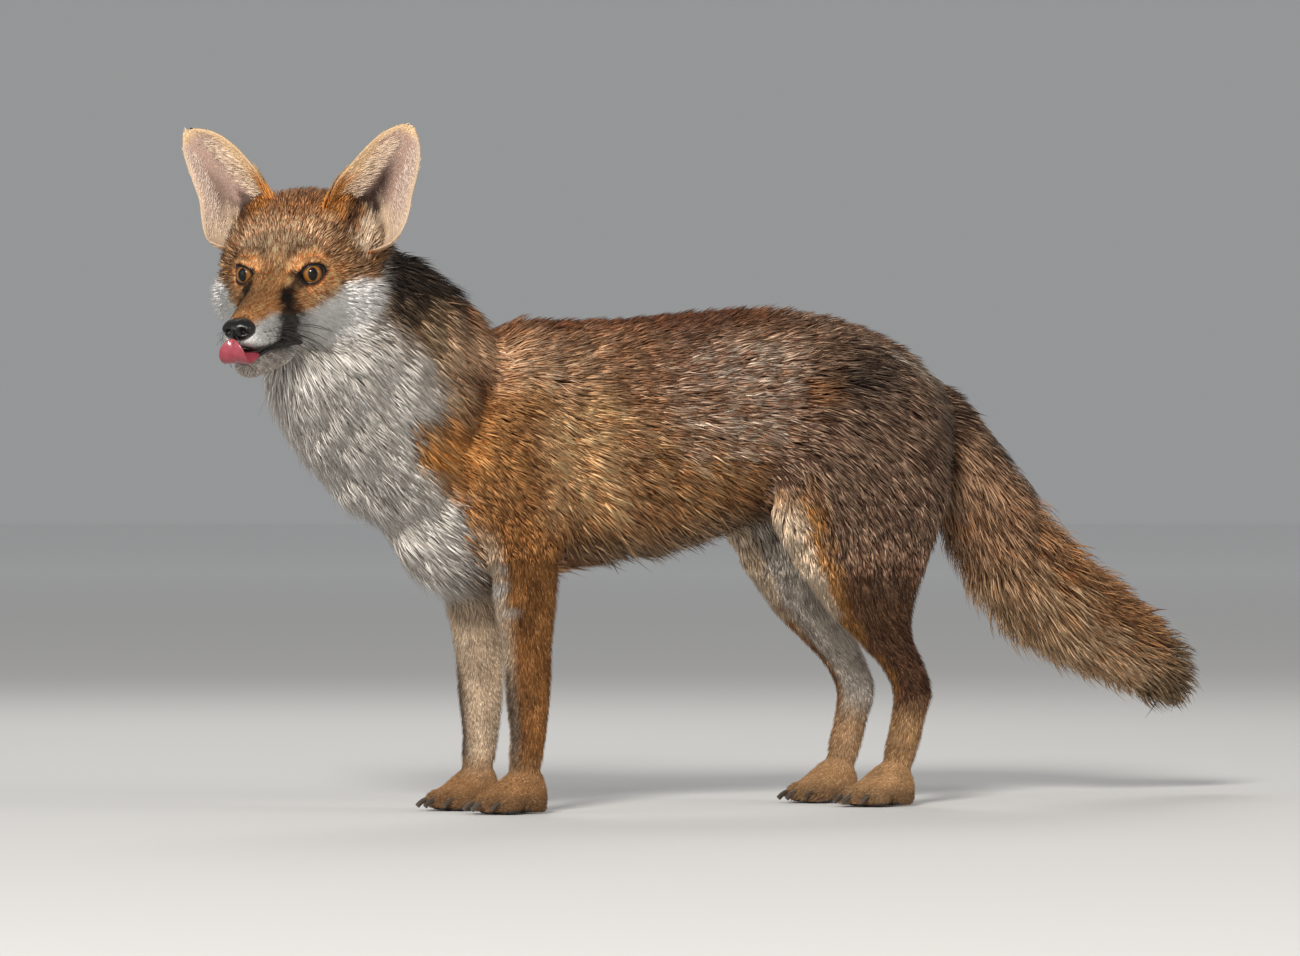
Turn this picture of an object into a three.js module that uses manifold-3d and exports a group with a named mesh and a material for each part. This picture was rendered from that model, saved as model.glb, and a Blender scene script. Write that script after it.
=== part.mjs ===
// A life-size red fox that stands with its head turned to its left and its tongue on its nose.
// Millimetres, +Z up. The fox faces -X, so its left side is the -Y side. The floor is z = 0.
import * as THREE from "three";
import { mergeVertices } from "three/addons/utils/BufferGeometryUtils.js";
import Module from "manifold-3d";

const wasm = await Module();
wasm.setup();

// ---------------------------------------------------------------- driving sizes, mm
const GAP = 0.3; // air between two pieces that meet
const SIDES = { left: -1, right: 1 }; // the sign of Y on each side

// Torso: x, back line, belly line, half width, squareness above and below the middle.
const TORSO = [
  [-236, 268, 214, 24, 2, 2],
  [-212, 322, 190, 46, 2, 2],
  [-178, 366, 175, 58, 2.1, 2],
  [-135, 386, 176, 65, 2.2, 2],
  [-85, 388, 189, 69, 2.3, 2],
  [-30, 390, 197, 70, 2.3, 2.1],
  [30, 395, 211, 66, 2.3, 2.1],
  [85, 399, 228, 60, 2.3, 2.1],
  [135, 397, 243, 60, 2.3, 2.2],
  [180, 388, 250, 60, 2.2, 2.2],
  [220, 371, 254, 52, 2.1, 2.1],
  [250, 348, 264, 38, 2, 2],
  [270, 326, 284, 18, 2, 2],
];

// Neck and breast, from inside the skull down to inside the chest:
// centre x, y, z, then half width, nape side and throat side of each section.
const NECK = [
  [-324, -44, 408, 34, 64, 53],
  [-296, -29, 380, 46, 88, 73],
  [-254, -12, 339, 54, 104, 85],
  [-205, -3, 295, 55, 103, 84],
  [-162, 0, 262, 52, 86, 80],
  [-132, 0, 232, 40, 54, 56],
];

// Legs, from the top down: z, centre x, half depth fore and aft, distance from the middle, half width.
const FORELEG = [
  [352, -124, 18, 32, 8],
  [336, -131, 34, 42, 18],
  [308, -140, 46, 47, 23],
  [270, -146, 50, 48, 25],
  [232, -141, 42, 49, 23],
  [200, -137, 32, 47, 21],
  [167, -134, 27.5, 44, 19],
  [128, -131, 22, 42, 17],
  [89, -130, 19.5, 41, 16],
  [60, -130, 15.5, 41, 15.5],
  [40, -132, 14, 41, 15],
  [24, -134, 11, 41, 12],
];
const HINDLEG = [
  [350, 190, 40, 34, 14],
  [325, 182, 62, 38, 24],
  [295, 173, 77, 42, 29],
  [262, 165, 83, 44, 31],
  [235, 163, 78, 45, 30],
  [210, 165, 67, 45, 27],
  [182, 169, 53, 46, 24],
  [157, 175, 39, 46, 21],
  [133, 188, 26, 46, 18],
  [112, 204, 20, 46, 15.5],
  [92, 213, 18, 46, 14],
  [68, 209, 15.5, 46, 13.5],
  [45, 203, 14.5, 46, 14],
  [24, 198, 11, 46, 12],
];

// Paw, from heel to toes: distance ahead of the leg's foot, top, half width.
const PAW = [
  [-16, 22, 9],
  [-8, 40, 14],
  [6, 38, 17],
  [20, 28, 18.5],
  [30, 21, 16],
];
const FOREPAW_X = -132; // where the leg comes down into the paw
const HINDPAW_X = 196;
const TOES = [
  { ahead: 22, out: -16.5, long: 12, wide: 6.8, high: 9 },
  { ahead: 31, out: -6.6, long: 13.5, wide: 6.8, high: 10 },
  { ahead: 31, out: 6.6, long: 13.5, wide: 6.8, high: 10 },
  { ahead: 22, out: 16.5, long: 12, wide: 6.8, high: 9 },
];
const CLAW = { length: 14, root: 2.6, sunk: 4 };

// Tail: centre x, y, z, the radius that its coat reaches, and the radius of the dense core.
const TAIL = [
  [246, 0, 324, 27, 26],
  [268, 1, 300, 33, 28],
  [300, 6, 256, 42, 28],
  [343, 20, 202, 48, 27],
  [393, 41, 166, 48, 26],
  [446, 63, 142, 43, 23],
  [496, 84, 121, 36, 18],
  [530, 97, 103, 28, 13],
  [543, 102, 92, 19, 8],
];

// Head, in its own frame: x ahead of the eyes, y to the fox's left, z above the eyes.
const HEAD = { at: [-352, -52, 419], turn: 41, nod: 9 }; // degrees to the left, degrees down
// x, ridge line, underside, height of the widest level, half width, squareness above and below
const SKULL = [
  [80, -29, -44, -37, 9, 2, 2],
  [74, -22, -46, -37, 12, 2.2, 2.2],
  [60, -16, -47, -36, 15, 2.3, 2.4],
  [42, -11, -48, -34, 18, 2.4, 2.4],
  [26, -6, -50, -30, 22, 2.5, 2.4],
  [12, 2, -52, -27, 29, 2.6, 2.4],
  [-2, 16, -55, -24, 40, 2.7, 2.5],
  [-16, 33, -58, -23, 52, 2.7, 2.5],
  [-36, 50, -60, -23, 60, 2.6, 2.5],
  [-58, 58, -62, -22, 64, 2.5, 2.3],
  [-82, 54, -60, -16, 60, 2.3, 2.1],
  [-102, 41, -50, -10, 46, 2.1, 2],
  [-116, 20, -30, -5, 24, 2, 2],
];
// Lower jaw: x, upper edge, underside, half width
const JAW = [
  [73, -56, -64, 6],
  [68, -53, -70, 10.5],
  [54, -50, -72, 13.5],
  [38, -49, -71, 16],
  [22, -48, -69, 18],
  [8, -48, -64, 16],
];
const EYE = { ahead: -6, out: 26, up: -1, radius: 10.5, outward: 30, upward: 4, lid: 3, long: 22, open: 14 };
const NOSE = { at: [78, 0, -32], half: [9.5, 12.5, 8.5], nostril: [5, 3, 2.6], slit: [4, 3.4, 1.1], apart: 5.6 };
// Round masses of the head: centre on the left side, half sizes. The muzzle's pads hang over the mouth.
const PAD = { at: [54, 9, -41], half: [27, 11, 10] };
const CHEEKBONE = { at: [-48, 30, -20], half: [46, 38, 34] };
const THROAT = { at: [-26, 0, -44], half: [46, 38, 29] };
// Tongue: x, z of its middle line, half width
const TONGUE = [
  [40, -49, 9],
  [58, -51, 10.5],
  [75, -54, 11.5],
  [86, -55, 11.5],
  [92, -50, 11],
  [93, -43, 8.5],
  [91, -38, 4],
];
const TONGUE_THICK = 4;

// Ear: where it is rooted, and its sections from root to tip: height, radius of the cup's wall,
// and half of the angle that the wall wraps, in degrees. Each ear leans and turns outwards its own way.
const EAR = { at: [-59, 36, 18], thick: 2.8, deep: 20, hollow: [15, 16, 28] };
const EAR_TURN = { left: { lean: 33, face: 24, bow: 0 }, right: { lean: 34, face: 1, bow: 4 } };
const EAR_CUP = [
  [0, 21, 150],
  [17, 28, 127],
  [33, 31, 86],
  [52, 34.5, 54],
  [69, 35, 43],
  [84, 34.5, 34],
  [96, 35, 21],
  [103, 33, 10],
];

// Locks: how many rows and how many in a row, their length, width and thickness.
const BRUSH = { rows: 8, around: 6, from: 0.12, to: 0.9, length: 78, wide: 25, thick: 5 };
const RUFF = { rows: 4, around: 7, from: 0.3, to: 0.7, length: 66, wide: 31, thick: 5, rise: 13 };
const CHEEK = { count: 4, from: 0.62, length: 44, wide: 22, thick: 4 };

// ---------------------------------------------------------------- helpers
const rad = THREE.MathUtils.degToRad;
const lerp = THREE.MathUtils.lerp;
const vec = (x, y, z) => new THREE.Vector3(x, y, z);
const X = vec(1, 0, 0);
const Y = vec(0, 1, 0);
const Z = vec(0, 0, 1);

// A seeded draw from -1 to 1, the same on each run.
function draws(seed) {
  let state = seed;
  return () => {
    state = (state * 1664525 + 1013904223) % 4294967296;
    return (state / 4294967296) * 2 - 1;
  };
}

// Smooth values between the rows of a table, where t runs 0 to 1 along the rows' own centres.
function smoothRows(centres, rows) {
  const along = [0];
  for (let i = 1; i < centres.length; i++)
    along.push(along[i - 1] + centres[i].distanceTo(centres[i - 1]));
  const total = along[along.length - 1];
  const values = centres.flatMap((c, i) => [...c.toArray(), ...rows[i]]);
  const curve = new THREE.CubicInterpolant(along, values, rows[0].length + 3);
  return {
    length: total,
    at: (t) => [...curve.evaluate(THREE.MathUtils.clamp(t, 0, 1) * total)],
  };
}

// A tapering form. Its sections are [half width, half up, half down, squareness up, squareness down].
// The sections stand square to the line of centres, or in the plane of the two axes given.
function form(centres, sections, across, up) {
  const table = smoothRows(centres, sections);
  const centre = (t) => vec(...table.at(t).slice(0, 3));
  const tangent = (t) => centre(t + 0.01).sub(centre(t - 0.01)).normalize();
  const axes = (t) => {
    if (up) return [across, up];
    const lift = across.clone().cross(tangent(t)).normalize();
    return [tangent(t).cross(lift).normalize(), lift];
  };
  const point = (t, angle, rise = 0) => {
    const [, , , wide, high, low, square, keel] = table.at(t);
    const [side, lift] = axes(t);
    const c = Math.cos(angle);
    const s = Math.sin(angle);
    const n = s > 0 ? square : keel;
    const k = (Math.abs(c) ** n + Math.abs(s) ** n) ** (-1 / n);
    const past = Math.max(0, t - 1) * table.length; // beyond the last section it runs straight on
    return centre(t)
      .addScaledVector(side, (wide + rise) * c * k)
      .addScaledVector(lift, ((s > 0 ? high : low) + rise) * s * k)
      .addScaledVector(tangent(1), past);
  };
  return { point, centre, tangent, length: table.length };
}

// The closed surface of a form, as a sphere's grid drawn over it.
function skinOf(shape, around, rings, grow = 0) {
  const ball = new THREE.SphereGeometry(1, around, rings + 1);
  const places = ball.getAttribute("position");
  for (let i = 0; i < places.count; i++) {
    const row = Math.floor(i / (around + 1));
    const column = (i % (around + 1)) % around;
    const t = THREE.MathUtils.clamp((row - 1) / (rings - 1), 0, 1);
    const end = row === 0 ? -grow : row > rings ? grow : 0;
    const onAxis = row === 0 || row > rings;
    const p = onAxis
      ? shape.centre(t).addScaledVector(shape.tangent(t), end)
      : shape.point(t, (2 * Math.PI * column) / around, grow);
    places.setXYZ(i, p.x, p.y, p.z);
  }
  return solid(ball);
}

// A closed geometry as a manifold solid, with its faces turned outwards.
function solid(geometry) {
  geometry.deleteAttribute("normal");
  geometry.deleteAttribute("uv");
  const merged = mergeVertices(geometry, 1e-4);
  const places = merged.getAttribute("position");
  const triangles = new Uint32Array(merged.index.array);
  const corner = (i) => vec().fromBufferAttribute(places, triangles[i]);
  let volume = 0;
  for (let i = 0; i < triangles.length; i += 3)
    volume += corner(i).dot(corner(i + 1).cross(corner(i + 2)));
  if (volume < 0)
    for (let i = 0; i < triangles.length; i += 3)
      [triangles[i], triangles[i + 1]] = [triangles[i + 1], triangles[i]];
  return new wasm.Manifold(
    new wasm.Mesh({ numProp: 3, vertProperties: places.array, triVerts: triangles }),
  );
}

// A ball squashed to three half sizes, turned and placed by a matrix.
function ellipsoid(half, matrix, grow = 0, around = 12, rings = 8) {
  const ball = new THREE.SphereGeometry(1, around, rings);
  ball.scale(half[0] + grow, half[1] + grow, half[2] + grow);
  return solid(ball.applyMatrix4(matrix));
}

const moved = (x, y, z) => new THREE.Matrix4().makeTranslation(x, y, z);

// A flat lock that tapers to a point: four sided, along a path, with its flat face to the outside.
function lock(path, outward, wide, thick, grow = 0) {
  const rings = path.length - 1;
  const spike = new THREE.ConeGeometry(1, 1, 4, rings);
  const places = spike.getAttribute("position");
  for (let i = 0; i < places.count; i++) {
    const p = vec().fromBufferAttribute(places, i);
    const t = p.y + 0.5; // 0 at the root, 1 at the tip
    const ring = Math.min(rings, Math.round(t * rings));
    const shrink = 1 - t;
    const unit = shrink > 0.01 ? vec(p.x / shrink, 0, p.z / shrink) : vec(0, 0, 0);
    const before = path[Math.max(0, ring - 1)];
    const after = path[Math.min(rings, ring + 1)];
    const lie = after.clone().sub(before).normalize();
    const side = lie.clone().cross(outward[ring]).normalize();
    const out = side.clone().cross(lie);
    const belly = Math.sqrt(Math.sin(Math.PI * Math.min(0.95, 0.22 + 0.74 * t)));
    const tipped = ring === rings ? 0 : 1;
    const q = path[ring]
      .clone()
      .addScaledVector(side, unit.x * tipped * ((wide / 2) * belly + grow))
      .addScaledVector(out, unit.z * tipped * ((thick / 2) * belly + grow))
      .addScaledVector(lie, (1 - tipped) * grow);
    places.setXYZ(i, q.x, q.y, q.z);
  }
  return solid(spike);
}

// A lock that lies on a form: it starts in the form at (t, angle) and runs on by length, rising to its tip.
function lockOn(shape, t, angle, swing, length, wide, thick, rise, grow) {
  const steps = [0, 1 / 3, 2 / 3, 1];
  const place = (s) => shape.point(t + (s * length) / shape.length, angle + swing * s, rise(s));
  const path = steps.map(place);
  const outward = steps.map((s, i) => {
    const middle = shape.centre(t + (s * length) / shape.length);
    return path[i].clone().sub(middle).normalize();
  });
  return lock(path, outward, wide, thick, grow);
}

const join = (pieces) => wasm.Manifold.union(pieces);

// The largest closed body of a solid: scraps and sealed hollows are dropped.
function largest(body) {
  const bodies = body.decompose();
  return bodies.reduce((best, b) => (b.volume() > best.volume() ? b : best));
}

const touching = (a, b) => {
  const p = a.boundingBox();
  const q = b.boundingBox();
  return [0, 1, 2].every((i) => p.min[i] <= q.max[i] && q.min[i] <= p.max[i]);
};

// A block from one corner to the other.
function block(low, high) {
  const size = high.map((h, i) => h - low[i]);
  return solid(new THREE.BoxGeometry(...size).translate(...low.map((l, i) => l + size[i] / 2)));
}
const underFloor = block([-600, -300, -60], [800, 300, 0]);

// ---------------------------------------------------------------- head's frame
const headFrame = new THREE.Matrix4()
  .makeTranslation(...HEAD.at)
  .multiply(new THREE.Matrix4().makeRotationZ(rad(180 + HEAD.turn)))
  .multiply(new THREE.Matrix4().makeRotationY(rad(HEAD.nod)));
const onHead = (body) => body.transform(headFrame.elements);

// ---------------------------------------------------------------- the forms
const torsoForm = form(
  TORSO.map(([x, top, bottom]) => vec(x, 0, (top + bottom) / 2)),
  TORSO.map(([, top, bottom, wide, square, keel]) => {
    const half = (top - bottom) / 2;
    return [wide, half, half, square, keel];
  }),
  Y,
  Z,
);
const neckForm = form(
  NECK.map(([x, y, z]) => vec(x, y, z)),
  NECK.map(([, , , wide, nape, throat]) => [wide, throat, nape, 2, 2]), // its lift points to the throat
  Y,
);
const legForm = (rows, side) =>
  form(
    rows.map(([z, x, , out]) => vec(x, side * out, z)),
    rows.map(([, , deep, , wide]) => [wide, deep, deep, 2.1, 2.1]),
    Y,
    X,
  );
const pawForm = (x, side, out) =>
  form(
    PAW.map(([ahead, top]) => vec(x - ahead, side * out, top / 2 - 1)),
    PAW.map(([, top, wide]) => [wide, top / 2, top / 2 + 1, 2.2, 2.6]),
    Y,
    Z,
  );
const tailForm = (column) =>
  form(
    TAIL.map(([x, y, z]) => vec(x, y, z)),
    TAIL.map((row) => [row[column], row[column], row[column], 2, 2]),
    Y,
  );
const tailCore = tailForm(4);
const tailCoat = tailForm(3);
const skullForm = form(
  SKULL.map(([x, , , mid]) => vec(x, 0, mid)),
  SKULL.map(([, top, bottom, mid, wide, square, keel]) => [wide, top - mid, mid - bottom, square, keel]),
  Y,
  Z,
);
const jawForm = form(
  JAW.map(([x, top, bottom]) => vec(x, 0, (top + bottom) / 2)),
  JAW.map(([, top, bottom, wide]) => [wide, (top - bottom) / 2, (top - bottom) / 2, 2.6, 2.2]),
  Y,
  Z,
);

// ---------------------------------------------------------------- sub-parts of the head
// The way an eye looks, and a frame with X along it.
function eyeFrame(side) {
  return new THREE.Matrix4()
    .makeTranslation(EYE.ahead, -side * EYE.out, EYE.up)
    .multiply(new THREE.Matrix4().makeRotationZ(-side * rad(EYE.outward)))
    .multiply(new THREE.Matrix4().makeRotationY(-rad(EYE.upward)));
}

const eyeball = (side, grow = 0) =>
  onHead(ellipsoid([EYE.radius, EYE.radius, EYE.radius], eyeFrame(side), grow, 12, 9));

// The almond between the lids, as a prism along the way the eye looks.
function almond(side) {
  const half = EYE.long / 2;
  const outline = new THREE.Shape();
  outline.moveTo(-half, -1.5 * -side);
  outline.quadraticCurveTo(0, EYE.open * 0.95, half, 1.5 * -side);
  outline.quadraticCurveTo(0, -EYE.open * 0.85, -half, -1.5 * -side);
  const prism = new THREE.ExtrudeGeometry(outline, { depth: 30, bevelEnabled: false, curveSegments: 6 });
  // the outline's x becomes the head's y, its y the head's z, and its depth the way ahead
  const turn = new THREE.Matrix4().makeBasis(Y, Z, X);
  return onHead(solid(prism.applyMatrix4(turn).applyMatrix4(eyeFrame(side))));
}

// The brow, lids and socket round one eye: what is added to the skull, and what is then taken out.
function lidBall(side, grow) {
  const radius = EYE.radius + EYE.lid;
  return onHead(ellipsoid([radius, radius, radius], eyeFrame(side), grow, 12, 9));
}

function nose(grow = 0) {
  const [x, , z] = NOSE.at;
  const pad = ellipsoid(NOSE.half, moved(...NOSE.at), grow, 12, 8);
  if (grow) return onHead(pad);
  const hollow = (half, place, tilt, around, up) => ellipsoid(half, place.multiply(tilt), 0, around, up);
  const nostrils = [-1, 1].map((s) => {
    const place = moved(x + NOSE.half[0] - 3, s * NOSE.apart, z - 0.5);
    return hollow(NOSE.nostril, place, new THREE.Matrix4().makeRotationZ(s * rad(38)), 8, 5);
  });
  const slits = [-1, 1].map((s) => {
    const place = moved(x + 4.5, s * (NOSE.half[1] - 2.5), z - 2.6);
    return hollow(NOSE.slit, place, new THREE.Matrix4().makeRotationX(s * rad(-25)), 6, 4);
  });
  return onHead(pad.subtract(join([...nostrils, ...slits])));
}

function tongue(grow = 0) {
  const shape = form(
    TONGUE.map(([x, z]) => vec(x, 0, z)),
    TONGUE.map(([, , wide]) => [wide, TONGUE_THICK / 2, TONGUE_THICK / 2, 2.4, 2.4]),
    Y,
  );
  return onHead(skinOf(shape, 10, 10, grow));
}

const earTurn = (side) => (side < 0 ? EAR_TURN.left : EAR_TURN.right);

// An ear's own frame: X out of its opening, Z up its length.
function earFrame(side) {
  const turn = earTurn(side);
  return new THREE.Matrix4()
    .makeTranslation(EAR.at[0], -side * EAR.at[1], EAR.at[2])
    .multiply(new THREE.Matrix4().makeRotationX(side * rad(turn.lean)))
    .multiply(new THREE.Matrix4().makeRotationZ(-side * rad(turn.face)));
}

// The ear's wall: a grid of points on the cup's middle surface, thickened to two faces cut alike.
function ear(side, grow = 0) {
  const across = 10;
  const along = 10;
  const rows = smoothRows(
    EAR_CUP.map(([height]) => vec(0, 0, height)),
    EAR_CUP.map(([, radius, wrap]) => [radius, wrap]),
  );
  const middle = (u, t) => {
    const [, , height, radius, wrap] = rows.at(t);
    const a = u * rad(Math.max(wrap, 1));
    const bow = side * earTurn(side).bow * Math.sin(Math.PI * t * t);
    return vec(radius * (1 - Math.cos(a)) - EAR.deep * (1 - t), radius * Math.sin(a) + bow, height);
  };
  const outward = (u, t) => {
    const du = middle(u + 0.02, t).sub(middle(u - 0.02, t));
    const dt = middle(u, Math.min(1, t + 0.02)).sub(middle(u, Math.max(0, t - 0.02)));
    return du.cross(dt).normalize();
  };
  const places = [];
  const faces = [];
  for (const face of [1, -1])
    for (let j = 0; j <= along; j++)
      for (let i = 0; i <= across; i++) {
        const u = (i / across) * 2 - 1;
        const t = j / along;
        const rim = Math.min(1, (1 - Math.abs(u)) * 3 + 0.45, (1 - t) * 5 + 0.45);
        const wall = face * ((EAR.thick / 2) * rim + grow);
        const grown = middle(u, t).addScaledVector(outward(u, t), wall);
        const edge = middle(u, t).sub(middle(u * 0.98, t)).normalize();
        if (i === 0 || i === across) grown.addScaledVector(edge, grow);
        if (j === 0 || j === along) grown.z += j === 0 ? -grow : grow;
        places.push(...grown.toArray());
      }
  const sheet = (across + 1) * (along + 1);
  const id = (face, i, j) => face * sheet + j * (across + 1) + i;
  for (let j = 0; j < along; j++)
    for (let i = 0; i < across; i++) {
      const [a, b, c, d] = [id(0, i, j), id(0, i + 1, j), id(0, i + 1, j + 1), id(0, i, j + 1)];
      faces.push(a, b, c, a, c, d);
      faces.push(a + sheet, c + sheet, b + sheet, a + sheet, d + sheet, c + sheet);
    }
  const seam = (p, q) => faces.push(q, p, p + sheet, q, p + sheet, q + sheet);
  for (let i = 0; i < across; i++) {
    seam(id(0, i, 0), id(0, i + 1, 0));
    seam(id(0, i + 1, along), id(0, i, along));
  }
  for (let j = 0; j < along; j++) {
    seam(id(0, 0, j + 1), id(0, 0, j));
    seam(id(0, across, j), id(0, across, j + 1));
  }
  const geometry = new THREE.BufferGeometry();
  geometry.setAttribute("position", new THREE.Float32BufferAttribute(places, 3));
  geometry.setIndex(faces);
  return onHead(solid(geometry.applyMatrix4(earFrame(side))));
}

// The hollow of the cup, down to the canal.
const canal = (side) => onHead(ellipsoid(EAR.hollow, earFrame(side).multiply(moved(2, 0, 30)), 0, 10, 8));

const jaw = (grow = 0) => onHead(skinOf(jawForm, 14, 9, grow));

// Locks of the cheek ruff, fanned back from the jaw's hinge.
function cheekLocks(side, grow) {
  const locks = [];
  const draw = draws(5);
  const swing = side * 0.12;
  const rise = (s) => lerp(-2, 8, s);
  for (let k = 0; k < CHEEK.count; k++) {
    const base = -0.7 + 0.4 * k + 0.1 * draw();
    const angle = side < 0 ? -base : Math.PI + base;
    const { from, length, wide, thick } = CHEEK;
    locks.push(lockOn(skullForm, from, angle, swing, length, wide, thick, rise, grow));
  }
  return onHead(join(locks));
}

// A round mass of the head, on one side.
function mass({ at, half }, side, grow) {
  return onHead(ellipsoid(half, moved(at[0], -side * at[1], at[2]), grow, 12, 8));
}

function head(grow = 0) {
  const skull = onHead(skinOf(skullForm, 18, 16, grow));
  const sides = Object.values(SIDES);
  const paired = (side) => [
    lidBall(side, grow),
    mass(PAD, side, grow),
    mass(CHEEKBONE, side, grow),
    cheekLocks(side, grow),
  ];
  const whole = join([skull, mass(THROAT, 1, grow), ...sides.flatMap(paired)]);
  if (grow) return whole;
  return sides.reduce((body, side) => body.subtract(almond(side)).subtract(canal(side)), whole);
}

// ---------------------------------------------------------------- sub-parts of the body
function neck(grow = 0) {
  const draw = draws(11);
  const locks = [];
  for (let row = 0; row < RUFF.rows; row++)
    for (let k = 0; k < RUFF.around; k++) {
      const t = lerp(RUFF.from, RUFF.to, row / (RUFF.rows - 1)) + 0.02 * draw();
      const angle = (2 * Math.PI * (k + (row % 2) / 2)) / RUFF.around + 0.1 * draw();
      const high = RUFF.rise * (1 + 0.2 * draw());
      const nape = Math.max(0, -Math.sin(angle));
      const rise = (s) => lerp(-3, high * (1 - 0.6 * nape), s ** 1.1);
      const wide = RUFF.wide * (1 + 0.15 * draw());
      locks.push(lockOn(neckForm, t, angle, 0.08 * draw(), RUFF.length, wide, RUFF.thick, rise, grow));
    }
  return join([skinOf(neckForm, 16, 8, grow), ...locks]);
}

const torso = (grow = 0) => skinOf(torsoForm, 18, 15, grow);

function tail(grow = 0) {
  const draw = draws(23);
  const locks = [];
  for (let row = 0; row < BRUSH.rows; row++)
    for (let k = 0; k < BRUSH.around; k++) {
      const t = lerp(BRUSH.from, BRUSH.to, row / (BRUSH.rows - 1)) + 0.01 * draw();
      const angle = (2 * Math.PI * (k + (row % 2) / 2)) / BRUSH.around + 0.12 * draw();
      const end = t + BRUSH.length / tailCore.length;
      const reach = tailCoat.point(end, 0).distanceTo(tailCoat.centre(end));
      const core = tailCore.point(end, 0).distanceTo(tailCore.centre(end));
      const rise = (s) => lerp(-2.5, Math.max(2, reach - core - 2), s ** 0.9);
      const wide = BRUSH.wide * (1 + 0.15 * draw()) * (t > 0.7 ? 0.8 : 1);
      locks.push(lockOn(tailCore, t, angle, 0.1 * draw(), BRUSH.length, wide, BRUSH.thick, rise, grow));
    }
  return join([skinOf(tailCore, 10, 14, grow), ...locks]);
}

const foreleg = (side, grow = 0) => skinOf(legForm(FORELEG, side), 12, 13, grow);
const hindleg = (side, grow = 0) => skinOf(legForm(HINDLEG, side), 12, 14, grow);

function paw(x, side, out, grow = 0) {
  const y = side * out;
  const toes = TOES.map((toe) =>
    ellipsoid([toe.long, toe.wide, toe.high], moved(x - toe.ahead, y + toe.out, toe.high - 1), grow, 7, 5),
  );
  const claws = TOES.map((toe) => {
    const front = x - toe.ahead - toe.long;
    const bend = [CLAW.sunk, 0, -CLAW.length * 0.45, -CLAW.length * 0.75];
    const path = bend.map((along, i) => vec(front + along, y + toe.out, toe.high + 1 - i * i * 0.75));
    return lock(path, path.map(() => Z), CLAW.root * 2, CLAW.root * 2.4, grow);
  });
  const whole = join([skinOf(pawForm(x, side, out), 10, 6, grow), ...toes, ...claws]);
  return grow ? whole : whole.subtract(underFloor);
}

// ---------------------------------------------------------------- colours
const coat = (color, roughness = 0.85) => new THREE.MeshStandardMaterial({ color, roughness, metalness: 0 });
const rust = coat(0xa8703f);
const grizzle = coat(0x8c6b4c);
const pale = coat(0xd9d0c4);
const darkLeg = coat(0x6f4428);
const brush = coat(0x8f7050);
const earBack = coat(0xc79a6a);
const wetBlack = coat(0x16130f, 0.3);
const amber = coat(0xb5762a, 0.1);
const pink = coat(0xc4616b, 0.4);

// ---------------------------------------------------------------- every node, the ones kept whole first
const { left, right } = SIDES;
const pieces = [
  ["eye_left", (grow) => eyeball(left, grow), amber],
  ["eye_right", (grow) => eyeball(right, grow), amber],
  ["nose", nose, wetBlack],
  ["tongue", tongue, pink],
  ["lower_jaw", jaw, pale],
  ["ear_left", (grow) => ear(left, grow), earBack],
  ["ear_right", (grow) => ear(right, grow), earBack],
  ["head", head, rust],
  ["forepaw_left", (grow) => paw(FOREPAW_X, left, 41, grow), darkLeg],
  ["forepaw_right", (grow) => paw(FOREPAW_X, right, 41, grow), darkLeg],
  ["hindpaw_left", (grow) => paw(HINDPAW_X, left, 46, grow), darkLeg],
  ["hindpaw_right", (grow) => paw(HINDPAW_X, right, 46, grow), darkLeg],
  ["foreleg_left", (grow) => foreleg(left, grow), rust],
  ["foreleg_right", (grow) => foreleg(right, grow), rust],
  ["hindleg_left", (grow) => hindleg(left, grow), grizzle],
  ["hindleg_right", (grow) => hindleg(right, grow), grizzle],
  ["torso", torso, grizzle],
  ["neck", neck, pale],
  ["tail", tail, brush],
];

function meshOf(name, body, material) {
  const { vertProperties, triVerts } = body.getMesh();
  const geometry = new THREE.BufferGeometry();
  geometry.setAttribute("position", new THREE.BufferAttribute(vertProperties, 3));
  geometry.setIndex(new THREE.BufferAttribute(triVerts, 1));
  const mesh = new THREE.Mesh(geometry, material);
  mesh.name = name;
  return mesh;
}

const fox = new THREE.Group();
const kept = [];
for (const [name, make, material] of pieces) {
  let body = make(0);
  for (const near of kept) if (touching(body, near)) body = body.subtract(near);
  fox.add(meshOf(name, largest(body), material));
  kept.push(make(GAP));
}

// The origin is the middle of the box's underside, on the floor.
const bounds = new THREE.Box3().setFromObject(fox);
const middle = bounds.getCenter(vec(0, 0, 0));
fox.position.set(-middle.x, -middle.y, -bounds.min.z);

export default fox;
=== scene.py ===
import math
import time
import bpy
import bmesh
import numpy as np
from mathutils import Matrix, Vector
from mathutils.bvhtree import BVHTree
from mathutils.kdtree import KDTree

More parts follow.
